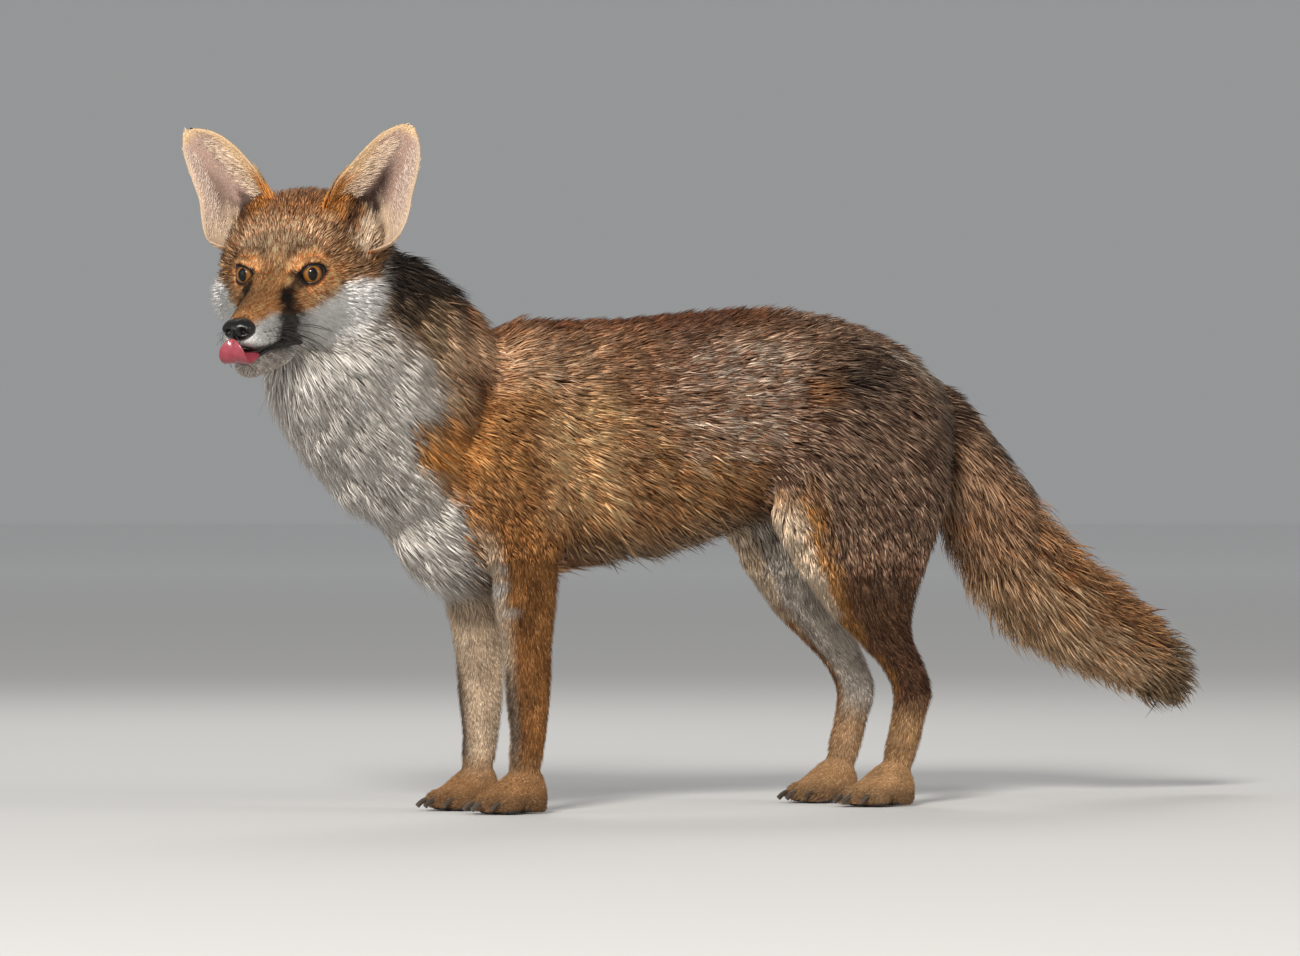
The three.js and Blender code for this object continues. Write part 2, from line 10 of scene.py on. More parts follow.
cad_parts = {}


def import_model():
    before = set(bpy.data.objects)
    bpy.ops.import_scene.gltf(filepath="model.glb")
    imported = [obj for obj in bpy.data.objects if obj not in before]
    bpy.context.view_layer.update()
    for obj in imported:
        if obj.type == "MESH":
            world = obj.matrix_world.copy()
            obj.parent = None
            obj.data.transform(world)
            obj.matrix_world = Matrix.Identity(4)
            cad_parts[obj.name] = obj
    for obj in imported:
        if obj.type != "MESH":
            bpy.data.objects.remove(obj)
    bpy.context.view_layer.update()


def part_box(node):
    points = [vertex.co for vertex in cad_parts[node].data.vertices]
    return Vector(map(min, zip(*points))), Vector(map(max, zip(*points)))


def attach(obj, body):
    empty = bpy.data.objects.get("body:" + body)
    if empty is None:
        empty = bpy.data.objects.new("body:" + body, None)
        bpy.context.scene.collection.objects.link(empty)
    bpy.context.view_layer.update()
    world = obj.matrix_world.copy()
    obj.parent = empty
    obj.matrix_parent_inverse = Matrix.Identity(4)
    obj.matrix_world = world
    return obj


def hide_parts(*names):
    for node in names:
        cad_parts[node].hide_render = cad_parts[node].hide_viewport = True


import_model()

began = time.time()
mm = 0.001


def stage(words):
    print(f"[fox] {time.time() - began:6.1f} s  {words}", flush=True)


# small helpers on arrays
def unit(v):
    return v / np.maximum(np.linalg.norm(v, axis=-1, keepdims=True), 1e-9)


def smooth(x, low, high):  # 0 below low, 1 above high, eased between
    s = np.clip((x - low) / (high - low), 0, 1)
    return s * s * (3 - 2 * s)


def bump(x, centre, reach):  # 1 at the centre, 0 past the reach
    return 1 - smooth(np.abs(x - centre), 0, reach)


def mix(a, b, share):
    share = np.asarray(share)[..., None]
    return a * (1 - share) + b * share


def rgb(r, g, b):  # a paint colour in 0 to 255, made linear
    c = np.array([r, g, b]) / 255
    return np.where(c <= 0.04045, c / 12.92, ((c + 0.055) / 1.055) ** 2.4)


waveCount, fieldCount, waveTurn = 9, 8, 6.28
waveDraws = np.random.default_rng(77)
waveSets = []  # the ways, starts and rates of each field's waves
for _ in range(fieldCount):
    ways = unit(waveDraws.normal(size=(waveCount, 3)))
    starts = waveDraws.uniform(0, waveTurn, waveCount)
    waveSets.append((ways, starts, waveDraws.uniform(0.7, 1.5, waveCount)))


def drift(p, size, which=0):  # a soft random field from about -1 to 1 over p, in mm
    total = np.zeros(len(p))
    for way, start, rate in zip(*waveSets[which]):
        total += np.sin(p @ way * (waveTurn * rate / size) + start)
    return total / 3.2


# the fox's forms, in mm: it faces -X, its left is -Y, the floor is z = 0
# x, back line, belly line, half width, squareness above and below
torsoRows = [
    [-236, 268, 214, 24, 2, 2], [-212, 322, 190, 46, 2, 2], [-178, 366, 175, 58, 2.1, 2],
    [-135, 386, 176, 65, 2.2, 2], [-85, 388, 189, 69, 2.3, 2], [-30, 390, 197, 70, 2.3, 2.1],
    [30, 395, 211, 66, 2.3, 2.1], [85, 399, 228, 60, 2.3, 2.1], [135, 397, 243, 60, 2.3, 2.2],
    [180, 388, 250, 60, 2.2, 2.2], [220, 371, 254, 52, 2.1, 2.1], [250, 348, 264, 38, 2, 2],
    [270, 326, 284, 18, 2, 2],
]
# centre x, y, z, half width, nape side, throat side
neckRows = [
    [-324, -44, 408, 34, 64, 53], [-296, -29, 380, 46, 88, 73], [-254, -12, 339, 54, 104, 85],
    [-205, -3, 295, 55, 103, 84], [-162, 0, 262, 52, 86, 80], [-132, 0, 232, 40, 54, 56],
]
# z, centre x, half depth, distance out, half width
forelegRows = [
    [352, -124, 18, 32, 8], [336, -131, 34, 42, 18], [308, -140, 46, 47, 23], [270, -146, 50, 48, 25],
    [232, -141, 42, 49, 23], [200, -137, 32, 47, 21], [167, -134, 27.5, 44, 19], [128, -131, 22, 42, 17],
    [89, -130, 19.5, 41, 16], [60, -130, 15.5, 41, 15.5], [40, -132, 14, 41, 15], [24, -134, 11, 41, 12],
]
hindlegRows = [
    [350, 190, 40, 34, 14], [325, 182, 62, 38, 24], [295, 173, 77, 42, 29], [262, 165, 83, 44, 31],
    [235, 163, 78, 45, 30], [210, 165, 67, 45, 27], [182, 169, 53, 46, 24], [157, 175, 39, 46, 21],
    [133, 188, 26, 46, 18], [112, 204, 20, 46, 15.5], [92, 213, 18, 46, 14], [68, 209, 15.5, 46, 13.5],
    [45, 203, 14.5, 46, 14], [24, 198, 11, 46, 12],
]
pawRows = [[-16, 22, 9], [-8, 40, 14], [6, 38, 17], [20, 28, 18.5], [30, 21, 16]]  # ahead, top, half width
pawPlaces = {"fore": (-132, 41), "hind": (196, 46)}  # x of the leg's foot, distance out
# ahead, sideways, half length, height of the middle
toeRows = [(22, -16.5, 12, 7.5), (31, -6.6, 13.5, 8.5), (31, 6.6, 13.5, 8.5), (22, 16.5, 12, 7.5)]
# x, y, z, coat's reach, core
tailRows = [
    [246, 0, 324, 27, 26], [268, 1, 300, 33, 28], [300, 6, 256, 42, 28], [343, 20, 202, 48, 27],
    [393, 41, 166, 48, 26], [446, 63, 142, 43, 23], [496, 84, 121, 36, 18], [530, 97, 103, 28, 13],
    [543, 102, 92, 19, 8],
]
# the head's own frame: x ahead of the eyes, y to its left, z above the eyes
headPlace = {"at": (-352, -52, 419), "turn": 41, "nod": 9}
# x, ridge, underside, widest level, half width, squareness above and below
skullRows = [
    [80, -29, -44, -37, 9, 2, 2], [74, -22, -46, -37, 12, 2.2, 2.2], [60, -16, -47, -36, 15, 2.3, 2.4],
    [42, -11, -48, -34, 18, 2.4, 2.4], [26, -6, -50, -30, 22, 2.5, 2.4], [12, 2, -52, -27, 29, 2.6, 2.4],
    [-2, 16, -55, -24, 40, 2.7, 2.5], [-16, 33, -58, -23, 52, 2.7, 2.5], [-36, 50, -60, -23, 60, 2.6, 2.5],
    [-58, 58, -62, -22, 64, 2.5, 2.3], [-82, 54, -60, -16, 60, 2.3, 2.1], [-102, 41, -50, -10, 46, 2.1, 2],
    [-116, 20, -30, -5, 24, 2, 2],
]
# x, top, bottom, half width
jawRows = [
    [73, -56, -64, 6], [68, -53, -70, 10.5], [54, -50, -72, 13.5], [38, -49, -71, 16], [22, -48, -69, 18],
    [8, -48, -64, 16],
]
# places are for the fox's left: ahead, out and up
muzzlePad = {"at": (54, 9, -41), "half": (27, 11, 10)}
cheekBone = {"at": (-48, 30, -20), "half": (46, 38, 34)}
throatMass = {"at": (-26, 0, -44), "half": (46, 38, 29)}
eyeSpec = {"at": (-6, 26, -1), "radius": 10.5, "outward": 30, "upward": 4, "gaze": 24}
noseSpec = {"at": (78, 0, -32), "half": (9.5, 12.5, 8.5)}
# ahead, up, half width
tongueRows = [
    [40, -49, 9], [58, -51, 10.5], [75, -54, 11.5], [86, -55, 11.5], [92, -50, 11], [93, -43, 8.5],
    [91, -38, 4],
]
# left and right are each ear's lean, turn and bow
earSpec = {"at": (-59, 36, 18), "wall": 1.0, "deep": 20, "left": (33, 24, 0), "right": (34, 1, 4)}
# height, radius, degrees that the cup wraps to each side
earRows = [
    [0, 21, 150], [17, 28, 127], [33, 31, 86], [52, 34.5, 54], [69, 35, 43], [84, 34.5, 34], [96, 35, 21],
    [103, 33, 10],
]


def turning(axis, degrees):
    return np.array(Matrix.Rotation(math.radians(degrees), 3, axis))


headTurn = turning("Z", 180 + headPlace["turn"]) @ turning("Y", headPlace["nod"])
headAt = np.array(headPlace["at"], float)


def fromHead(p):
    return np.asarray(p, float) @ headTurn.T + headAt


def toHead(p):
    return (np.asarray(p, float) - headAt) @ headTurn


def onSide(at, side):  # side is -1 on the fox's left and 1 on its right
    x, y, z = at
    return np.array([x, -side * y, z], float)


def folded(p):  # both sides laid on one
    return np.stack([p[:, 0], np.abs(p[:, 1]), p[:, 2]], -1)


def eyeTurn(side):  # columns are the eye's axes in the head's frame
    return turning("Z", -side * eyeSpec["outward"]) @ turning("Y", -eyeSpec["upward"])


def eyeAt(side):
    return onSide(eyeSpec["at"], side)


def earTurn(side):
    lean, face, _ = earSpec["left" if side < 0 else "right"]
    return turning("X", side * lean) @ turning("Z", -side * face)


def earAt(side):
    return onSide(earSpec["at"], side)


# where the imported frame's origin lies: the left eye's ball is a whole ball
low, high = (np.array(c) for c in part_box("eye_left"))
shift = (low + high) / 2 / mm - fromHead(eyeAt(-1))


def world(p):  # fox mm to the frame's metres
    return (np.asarray(p, float) + shift) * mm


# a form is a row of sections strung along a smooth line
def throughRows(along, values, places):
    slopes = np.diff(values, axis=0) / np.diff(along)[:, None]
    tangents = np.vstack([slopes[:1], (slopes[1:] + slopes[:-1]) / 2, slopes[-1:]])
    i = np.clip(np.searchsorted(along, places, side="right") - 1, 0, len(along) - 2)
    h = (along[i + 1] - along[i])[:, None]
    s = (places[:, None] - along[i][:, None]) / h
    a, b = values[i], values[i + 1]
    return (2 * s**3 - 3 * s**2 + 1) * a + (s**3 - 2 * s**2 + s) * h * tangents[i] \
        + (3 * s**2 - 2 * s**3) * b + (s**3 - s**2) * h * tangents[i + 1]


def runLength(points):  # how far along the line each point is
    return np.concatenate([[0], np.cumsum(np.linalg.norm(np.diff(points, axis=0), axis=1))])


def makeForm(centres, sections, across, up=None, steps=200):
    centres, sections = np.array(centres, float), np.array(sections, float)
    along = runLength(centres)
    t = np.linspace(0, 1, steps + 1)
    table = throughRows(along, np.hstack([centres, sections]), t * along[-1])
    centre, section = table[:, :3], table[:, 3:]
    tangent = unit(np.gradient(centre, axis=0))
    if up is None:
        lift = unit(np.cross(across, tangent))
        side = unit(np.cross(tangent, lift))
    else:
        side, lift = np.tile(across, (steps + 1, 1)), np.tile(up, (steps + 1, 1))
    return {"t": t, "centre": centre, "section": section, "tangent": tangent, "side": side, "lift": lift}


def readForm(form, t):
    t = np.clip(t, 0, 1)
    keys = ("centre", "section", "tangent", "side", "lift")
    return {k: np.stack([np.interp(t, form["t"], column) for column in form[k].T], -1) for k in keys}

def formPoint(form, t, angle, rise=0.0):
    at = readForm(form, t)
    wide, up, down, square, keel = at["section"].T
    c, s = np.cos(angle), np.sin(angle)
    n = np.where(s > 0, square, keel)
    k = (np.abs(c) ** n + np.abs(s) ** n) ** (-1 / n)
    a = (wide + rise) * c * k
    b = (np.where(s > 0, up, down) + rise) * s * k
    return at["centre"] + at["side"] * a[:, None] + at["lift"] * b[:, None]


def placeOn(form, p, axis=None):  # where p is along and across a form, and its gap to the surface
    coarse = form["centre"]
    if axis is not None:
        run = coarse @ axis
        order = np.argsort(run)
        t = np.interp(p @ axis, run[order], form["t"][order])
        past = np.maximum(0, np.maximum(run.min() - p @ axis, p @ axis - run.max()))
    else:
        best = np.full(len(p), 1e18)
        t = np.zeros(len(p))
        for k in range(0, len(coarse), 3):
            gap = ((p - coarse[k]) ** 2).sum(1)
            nearer = gap < best
            best[nearer] = gap[nearer]
            t[nearer] = form["t"][k]
        ends = readForm(form, t)
        over = ((p - ends["centre"]) * ends["tangent"]).sum(1)
        past = np.where((t <= 0) & (over < 0), -over, np.where((t >= 1) & (over > 0), over, 0))
    at = readForm(form, t)
    rel = p - at["centre"]
    a, b = (rel * at["side"]).sum(1), (rel * at["lift"]).sum(1)
    wide, up, down = at["section"].T[:3]
    half = np.where(b > 0, up, down)
    e = np.sqrt((a / wide) ** 2 + (b / half) ** 2) + 1e-6
    gap = np.hypot(a, b) * (1 - 1 / e)
    a, b = a / wide, b / half
    return {"t": t, "gap": gap + past, "a": a, "b": b, "angle": np.arctan2(b, a), "tangent": at["tangent"]}


axisX, axisY, axisZ = np.eye(3)
sides = {"left": -1, "right": 1}


def legForm(rows, side):
    centres = [[x, side * out, z] for z, x, _, out, _ in rows]
    return makeForm(centres, [[wide, deep, deep, 2.1, 2.1] for _, _, deep, _, wide in rows], axisY, axisX)


def pawForm(kind, side):
    x, out = pawPlaces[kind]
    centres = [[x - ahead, side * out, top / 2 - 1] for ahead, top, _ in pawRows]
    return makeForm(centres, [[wide, top / 2, top / 2 + 1, 2.2, 2.6] for _, top, wide in pawRows], axisY, axisZ)


def levelForm(rows):  # rows as in skullRows
    centres = [[x, 0, mid] for x, _, _, mid, *_ in rows]
    sections = [[wide, top - mid, mid - low, *square] for _, top, low, mid, wide, *square in rows]
    return makeForm(centres, sections, axisY, axisZ)


def tailForm(column):  # round, with the half width in that column of the rows
    return makeForm([r[:3] for r in tailRows], [[r[column]] * 3 + [2, 2] for r in tailRows], axisY)


forms = {
    "torso": levelForm([[x, top, low, (top + low) / 2, *rest] for x, top, low, *rest in torsoRows]),
    "neck": makeForm([r[:3] for r in neckRows],
                     [[wide, throat, nape, 2, 2] for *_, wide, nape, throat in neckRows], axisY),
    "tail": tailForm(4),
    "tailCoat": tailForm(3),
    "skull": levelForm(skullRows),
    "jaw": levelForm([[x, top, low, (top + low) / 2, wide, 2.6, 2.2] for x, top, low, wide in jawRows]),
}
for name, side in sides.items():
    forms["foreleg_" + name] = legForm(forelegRows, side)
    forms["hindleg_" + name] = legForm(hindlegRows, side)
    forms["forepaw_" + name] = pawForm("fore", side)
    forms["hindpaw_" + name] = pawForm("hind", side)


# camera, soft lights and a pale floor
viewSpec = {"azimuth": -28, "distance": 6500, "height": 262, "lens": 226.8}


def makeView():
    turn = math.radians(viewSpec["azimuth"])
    camera = addPiece("camera", bpy.data.cameras.new("camera"))
    back = viewSpec["distance"]
    camera.location = world((math.sin(turn) * back, -math.cos(turn) * back, viewSpec["height"]))
    camera.rotation_euler = (math.pi / 2, 0, turn)
    camera.data.lens = viewSpec["lens"]
    camera.data.clip_end = 200
    bpy.context.scene.camera = camera


# name, place (m), aim (m), size (m), watts, colour
lightRows = [
    ("key", (-5.6, -6.9, 4.25), (-0.1, 0, 0.25), 2.0, 1180, (1.0, 0.965, 0.91)),
    ("fill", (-3.2, -0.4, 1.0), (-0.2, 0, 0.3), 1.8, 16, (0.95, 0.97, 1.0)),
    ("side", (2.2, -2.6, 1.5), (0.1, 0, 0.25), 1.6, 34, (1.0, 0.97, 0.93)),
    ("rim", (0.6, 2.4, 2.4), (0, 0, 0.3), 1.4, 26, (1.0, 0.99, 0.97)),
]


def makeLights():
    for name, place, aim, size, watts, colour in lightRows:
        light = bpy.data.lights.new(name, "AREA")
        light.shape, light.size, light.energy, light.color = "DISK", size, watts, colour
        lamp = addPiece(name, light)
        lamp.location = place
        lamp.rotation_euler = (Vector(aim) - Vector(place)).to_track_quat("-Z", "Y").to_euler()
    sky = bpy.data.worlds.new("studio")
    sky.use_nodes = True
    sockets = sky.node_tree.nodes["Background"].inputs
    sockets["Color"].default_value, sockets["Strength"].default_value = (0.84, 0.85, 0.86, 1), 0.36
    bpy.context.scene.world = sky
    bpy.context.scene.view_settings.view_transform = "Standard"


# materials: a surface's shader, the nodes before it and the links between them
def makeNodes(tree, kinds):  # name: (kind, settings), and a setting is the node's own or a socket's value
    nodes = {}
    for name, (kind, settings) in kinds.items():
        node = nodes[name] = tree.nodes.new(kind)
        for key, value in settings.items():
            if key == "stops":
                setStops(node.color_ramp, value)
            elif isinstance(key, str) and hasattr(node, key):
                setattr(node, key, value)
            else:
                node.inputs[key].default_value = value
    return nodes


def setStops(ramp, stops):
    while len(ramp.elements) < len(stops):
        ramp.elements.new(0.5)
    for element, (place, colour) in zip(ramp.elements, stops):
        element.position, element.color = place, (*colour, 1)


def wire(tree, nodes, links):  # a link is "node.output > node.input", by the socket's name or number
    for link in links:
        (source, out), (target, into) = [end.split(".") for end in link.split(" > ")]
        out, into = [int(key) if key.isdigit() else key for key in (out, into)]
        tree.links.new(nodes[source].outputs[out], nodes[target].inputs[into])


def newMaterial(name, sockets, kinds={}, links=()):
    material = bpy.data.materials.new(name)
    material.use_nodes = True
    tree = material.node_tree
    shader = tree.nodes["Principled BSDF"]
    for socket, value in sockets.items():
        shader.inputs[socket].default_value = value
    wire(tree, {"shader": shader, **makeNodes(tree, kinds)}, links)
    return material


def furMaterial(name, rough, grain, bumpiness, streak):
    kinds = {
        "tone": ("ShaderNodeAttribute", {"attribute_name": "coat"}),
        "place": ("ShaderNodeTexCoord", {}),
        "noise": ("ShaderNodeTexNoise", {"Scale": grain, "Detail": 2.0}),
        "span": ("ShaderNodeMapRange", {"To Min": 1 - streak, "To Max": 1 + streak}),
        "blend": ("ShaderNodeVectorMath", {"operation": "SCALE"}),
    }
    links = ["place.Object > noise.Vector", "noise.Fac > span.Value", "tone.Color > blend.0",
             "span.Result > blend.Scale", "blend.Vector > shader.Base Color"]
    if bumpiness:
        kinds["relief"] = ("ShaderNodeBump", {"Strength": bumpiness, "Distance": 0.0006})
        links += ["noise.Fac > relief.Height", "relief.Normal > shader.Normal"]
    return newMaterial(name, {"Roughness": rough, "Specular IOR Level": 0.16}, kinds, links)


def wetMaterial(name, dark, pale, scale, rough, coat, depth=0.0003, strength=0.5):
    sockets = {"Roughness": rough, "Specular IOR Level": 0.25, "Coat Weight": coat, "Coat Roughness": 0.12}
    kinds = {
        "place": ("ShaderNodeTexCoord", {}),
        "cells": ("ShaderNodeTexVoronoi", {"Scale": scale}),
        "cloud": ("ShaderNodeTexNoise", {"Scale": scale * 0.2, "Detail": 3.0}),
        "ramp": ("ShaderNodeValToRGB", {"stops": [(0, rgb(*dark)), (1, rgb(*pale))]}),
        "relief": ("ShaderNodeBump", {"Strength": strength, "Distance": depth}),
    }
    return newMaterial(name, sockets, kinds, [
        "place.Object > cells.Vector", "place.Object > cloud.Vector", "cloud.Fac > ramp.Fac",
        "ramp.Color > shader.Base Color", "cells.Distance > relief.Height", "relief.Normal > shader.Normal"])


# meshes from arrays
def makeMesh(name, places, faces, material, tones=None):  # places in fox mm
    mesh = bpy.data.meshes.new(name)
    mesh.from_pydata(world(places).tolist(), [], [tuple(f) for f in faces])
    return finishMesh(name, mesh, material, tones)


def paintMesh(mesh, tones):
    layer = mesh.color_attributes.new("coat", "FLOAT_COLOR", "POINT")
    tones = np.hstack([np.clip(tones, 0, 1), np.ones((len(tones), 1))])
    layer.data.foreach_set("color", tones.astype(np.float32).ravel())


def finishMesh(name, mesh, material, tones=None):
    if tones is not None:
        paintMesh(mesh, tones)
    mesh.materials.append(material)
    mesh.polygons.foreach_set("use_smooth", np.full(len(mesh.polygons), True))
    mesh.update()
    return addPiece(name, mesh)


def addPiece(name, data):
    piece = bpy.data.objects.new(name, data)
    bpy.context.collection.objects.link(piece)
    return piece


def fastMesh(name, places, faces, uv):  # many triangles at once
    mesh = bpy.data.meshes.new(name)
    mesh.vertices.add(len(places))
    mesh.vertices.foreach_set("co", world(places).astype(np.float32).ravel())
    mesh.loops.add(faces.size)
    mesh.loops.foreach_set("vertex_index", faces.astype(np.int32).ravel())
    mesh.polygons.add(len(faces))
    mesh.polygons.foreach_set("loop_start", np.arange(0, faces.size, 3, dtype=np.int32))
    mesh.polygons.foreach_set("loop_total", np.full(len(faces), 3, np.int32))
    layer = mesh.uv_layers.new(name="OFBake")
    layer.data.foreach_set("uv", uv[faces.ravel()].astype(np.float32).ravel())
    mesh.update(calc_edges=True)
    return mesh


def gridFaces(along, around):  # quads of a grid of closed rings, row by row
    out = []
    for j in range(along - 1):
        for i in range(around):
            a, b = j * around + i, j * around + (i + 1) % around
            out.append((a, b, b + around, a + around))
    return out


def ringSolid(rings):  # a closed tube of rings, with a point at each end
    along, around = len(rings), len(rings[0])
    places = np.vstack([np.vstack(rings), rings[0].mean(0), rings[-1].mean(0)])
    faces = gridFaces(along, around)
    start, end = along * around, along * around + 1
    last = (along - 1) * around
    faces += [((i + 1) % around, i, start) for i in range(around)]
    faces += [(last + i, last + (i + 1) % around, end) for i in range(around)]
    return places, outwardFaces(places, faces)


def outwardFaces(places, faces):  # turned so that the volume is positive
    total = 0.0
    for f in faces:
        for k in range(1, len(f) - 1):
            total += np.dot(places[f[0]], np.cross(places[f[k]], places[f[k + 1]]))
    return faces if total > 0 else [tuple(reversed(f)) for f in faces]


def joinParts(parts):
    places, faces, first = [], [], 0
    for p, f in parts:
        places.append(p)
        faces += [tuple(i + first for i in face) for face in f]
        first += len(p)
    return np.vstack(places), faces


def formSolid(form, inset, along, around):  # inset may follow the section's centre
    angle = np.linspace(0, 2 * np.pi, around, endpoint=False)
    rings = []
    for t in np.linspace(0, 1, along):
        at = readForm(form, np.array([t]))
        depth = inset(at["centre"][0]) if callable(inset) else inset
        least = at["section"][0, :3].min()
        rings.append(formPoint(form, np.full(around, t), angle, -min(depth, least - 2)))
    return ringSolid(rings)


def ballRings(phi, around):  # rings of a unit ball, from its pole along x
    theta = np.linspace(0, 2 * np.pi, around, endpoint=False)
    ring = np.array([np.ones(around), np.cos(theta), np.sin(theta)])
    return [(ring * [[np.cos(f)], [np.sin(f)], [np.sin(f)]]).T for f in phi]


def ballSolid(at, half, along=18, around=28, wobble=None):
    places, faces = ringSolid(ballRings(np.linspace(0, np.pi, along + 2)[1:-1], around))
    places[-2:] = [[1, 0, 0], [-1, 0, 0]]
    if wobble is not None:
        places = wobble(places)
    return places * half + at, faces


def tubeSolid(rows, around=12):  # rows: place and radius
    rows = np.array(rows, float)
    along = runLength(rows[:, :3])
    table = throughRows(along, rows, np.linspace(0, along[-1], 6 * len(rows)))
    tangent = unit(np.gradient(table[:, :3], axis=0))
    side = unit(np.cross(tangent, axisZ + 0.01))
    lift = np.cross(side, tangent)
    angle = np.linspace(0, 2 * np.pi, around, endpoint=False)[:, None]
    rings = [c[:3] + c[3] * (np.cos(angle) * s + np.sin(angle) * u) for c, s, u in zip(table, side, lift)]
    return ringSolid(rings)


def placedOnHead(part):
    return fromHead(part[0]), part[1]


# how deep in mm the skin lies in each form, the size of its faces, and how often it is evened out
skinSpec = {
    "torso": 10, "neck": 13, "tail": 4, "jaw": 1.2, "paw": 1.3, "pad": 1.2, "cheek": 7, "throat": 6,
    "voxel": 3.12, "evenSteps": 14, "seamSteps": 90, "fineSteps": 8, "eyeSteps": 6,
}
# height over the floor, or place ahead of the eyes, and the coat's depth there
legDepth = ([30, 110, 200, 300], [1.8, 2.6, 4, 9])
skullDepth = ([-100, -58, -20, 0, 15, 40, 80], [6, 6, 5, 3.2, 1.8, 1.2, 0.9])


def makeSkinParts():
    throat = np.array(throatMass["half"]) - skinSpec["throat"]
    parts = [
        formSolid(forms["torso"], skinSpec["torso"], 60, 56),
        formSolid(forms["neck"], skinSpec["neck"], 36, 48),
        formSolid(forms["tail"], skinSpec["tail"], 60, 28),
        placedOnHead(formSolid(forms["skull"], lambda centre: np.interp(centre[0], *skullDepth), 80, 72)),
        placedOnHead(formSolid(forms["jaw"], skinSpec["jaw"], 30, 32)),
        placedOnHead(ballSolid(throatMass["at"], throat)),
    ]
    for name, side in sides.items():
        for leg, paw in (("foreleg_", "forepaw_"), ("hindleg_", "hindpaw_")):
            parts.append(formSolid(forms[leg + name], lambda centre: np.interp(centre[2], *legDepth), 60, 32))
            parts.append(formSolid(forms[paw + name], skinSpec["paw"], 16, 28))
        for mass, inset in ((muzzlePad, skinSpec["pad"]), (cheekBone, skinSpec["cheek"])):
            parts.append(placedOnHead(ballSolid(onSide(mass["at"], side), np.array(mass["half"]) - inset)))
        for x, out in pawPlaces.values():
            for ahead, aside, half, high in toeRows:
                at = (x - ahead, side * (out + aside), high)
                parts.append(ballSolid(at, (half - 0.8, 6.1, high), 12, 18))
    return parts


def relax(p, edges, steps, share=0.5, back=-0.53, weight=1.0):  # a step back keeps the volume
    a, b = edges.T
    n = len(p)
    count = (np.bincount(a, minlength=n) + np.bincount(b, minlength=n))[:, None]
    weight = np.broadcast_to(weight, n)[:, None]
    for step in range(steps):
        total = [np.bincount(a, p[b, k], n) + np.bincount(b, p[a, k], n) for k in range(3)]
        move = (np.stack(total, -1) / count - p) * (share if step % 2 == 0 or back is None else back)
        p = p + move * weight
    return p


def readMesh(mesh):
    p = np.empty(len(mesh.vertices) * 3, np.float32)
    mesh.vertices.foreach_get("co", p)
    edges = np.empty(len(mesh.edges) * 2, np.int32)
    mesh.edges.foreach_get("vertices", edges)
    return p.reshape(-1, 3).astype(float) / mm - shift, edges.reshape(-1, 2)


def writePlaces(mesh, p):
    mesh.vertices.foreach_set("co", world(p).astype(np.float32).ravel())
    mesh.update()


def splitFaces(mesh, chosen):  # halves the edges of the chosen faces
    net = bmesh.new()
    net.from_mesh(mesh)
    net.faces.ensure_lookup_table()
    edges = {e for i in np.nonzero(chosen)[0] for e in net.faces[int(i)].edges}
    bmesh.ops.subdivide_edges(net, edges=list(edges), cuts=1, use_grid_fill=True)
    net.to_mesh(mesh)
    net.free()


def eyeAngles(h, side):  # directions from the ball's centre: sideways and upward angle, and the distance
    rel = (h - eyeAt(side)) @ eyeTurn(side)
    far = np.linalg.norm(rel, axis=1)
    return np.arctan2(rel[:, 1], rel[:, 0]), np.arcsin(np.clip(rel[:, 2] / np.maximum(far, 1e-6), -1, 1)), far


# degrees from the ball's centre, how pointed the corners are, and the run of the corner by the nose
lidSpec = {
    "wide": 64, "top": 34, "bottom": 39, "point": {-1: 1.6, 1: 2.0}, "tilt": {-1: 16, 1: 5}, "tear": 0.35,
}


def lidAxes(side):  # the lean that lifts the outer corner
    lean = math.radians(lidSpec["tilt"][side]) * -side
    return math.cos(lean), math.sin(lean)


def offRim(h, side):  # degrees outside the rim of the opening, and the distance from the ball's centre
    across, up, far = eyeAngles(h, side)
    c, s = lidAxes(side)
    a, b = np.degrees(across * c + up * s), np.degrees(up * c - across * s)
    n, high = lidSpec["point"][side], np.where(b > 0, lidSpec["top"], lidSpec["bottom"])
    e = (np.abs(a / lidSpec["wide"]) ** n + np.abs(b / high) ** n) ** (1 / n)
    return np.hypot(a, b) * (1 - 1 / np.maximum(e, 1e-3)), far


def haze(columns, at, reach):  # 1 at a place, fading over the reach in each direction
    return np.exp(-sum(((c - a) / r) ** 2 for c, a, r in zip(columns, at, reach)))


# small masses and folds of the face: middle, reach and push, each ahead, out and up
faceMasses = {
    "brow": ((-2, 17, 13), (9, 9, 7), (2.2, 1.0, 1.2)),
    "fold before the eye": ((20, 19, -24), (7, 8, 16), (0, -2.4, 0)),
    "stop": ((6, 0, 4), (10, 7, 10), (0, 0, -1.6)),
    "bone under the eye": ((-2, 33, -19), (12, 10, 7), (0, 1.6, 0)),
    "split of the lip": ((80, 0, -44), (10, 2.2, 8), (-1.5, 0, 0)),
}
# where the face begins, ahead of the eyes, and how far from an eye's middle its lids' skin and pit lie
faceSpec = {"from": -60, "lidSkin": 12.2, "pit": 7.5}


def sculptFace(h):
    out = np.zeros_like(h)
    for at, reach, push in faceMasses.values():
        out += haze(folded(h).T, at, reach)[:, None] * push
    out[:, 1] *= np.sign(h[:, 1])
    return h + out


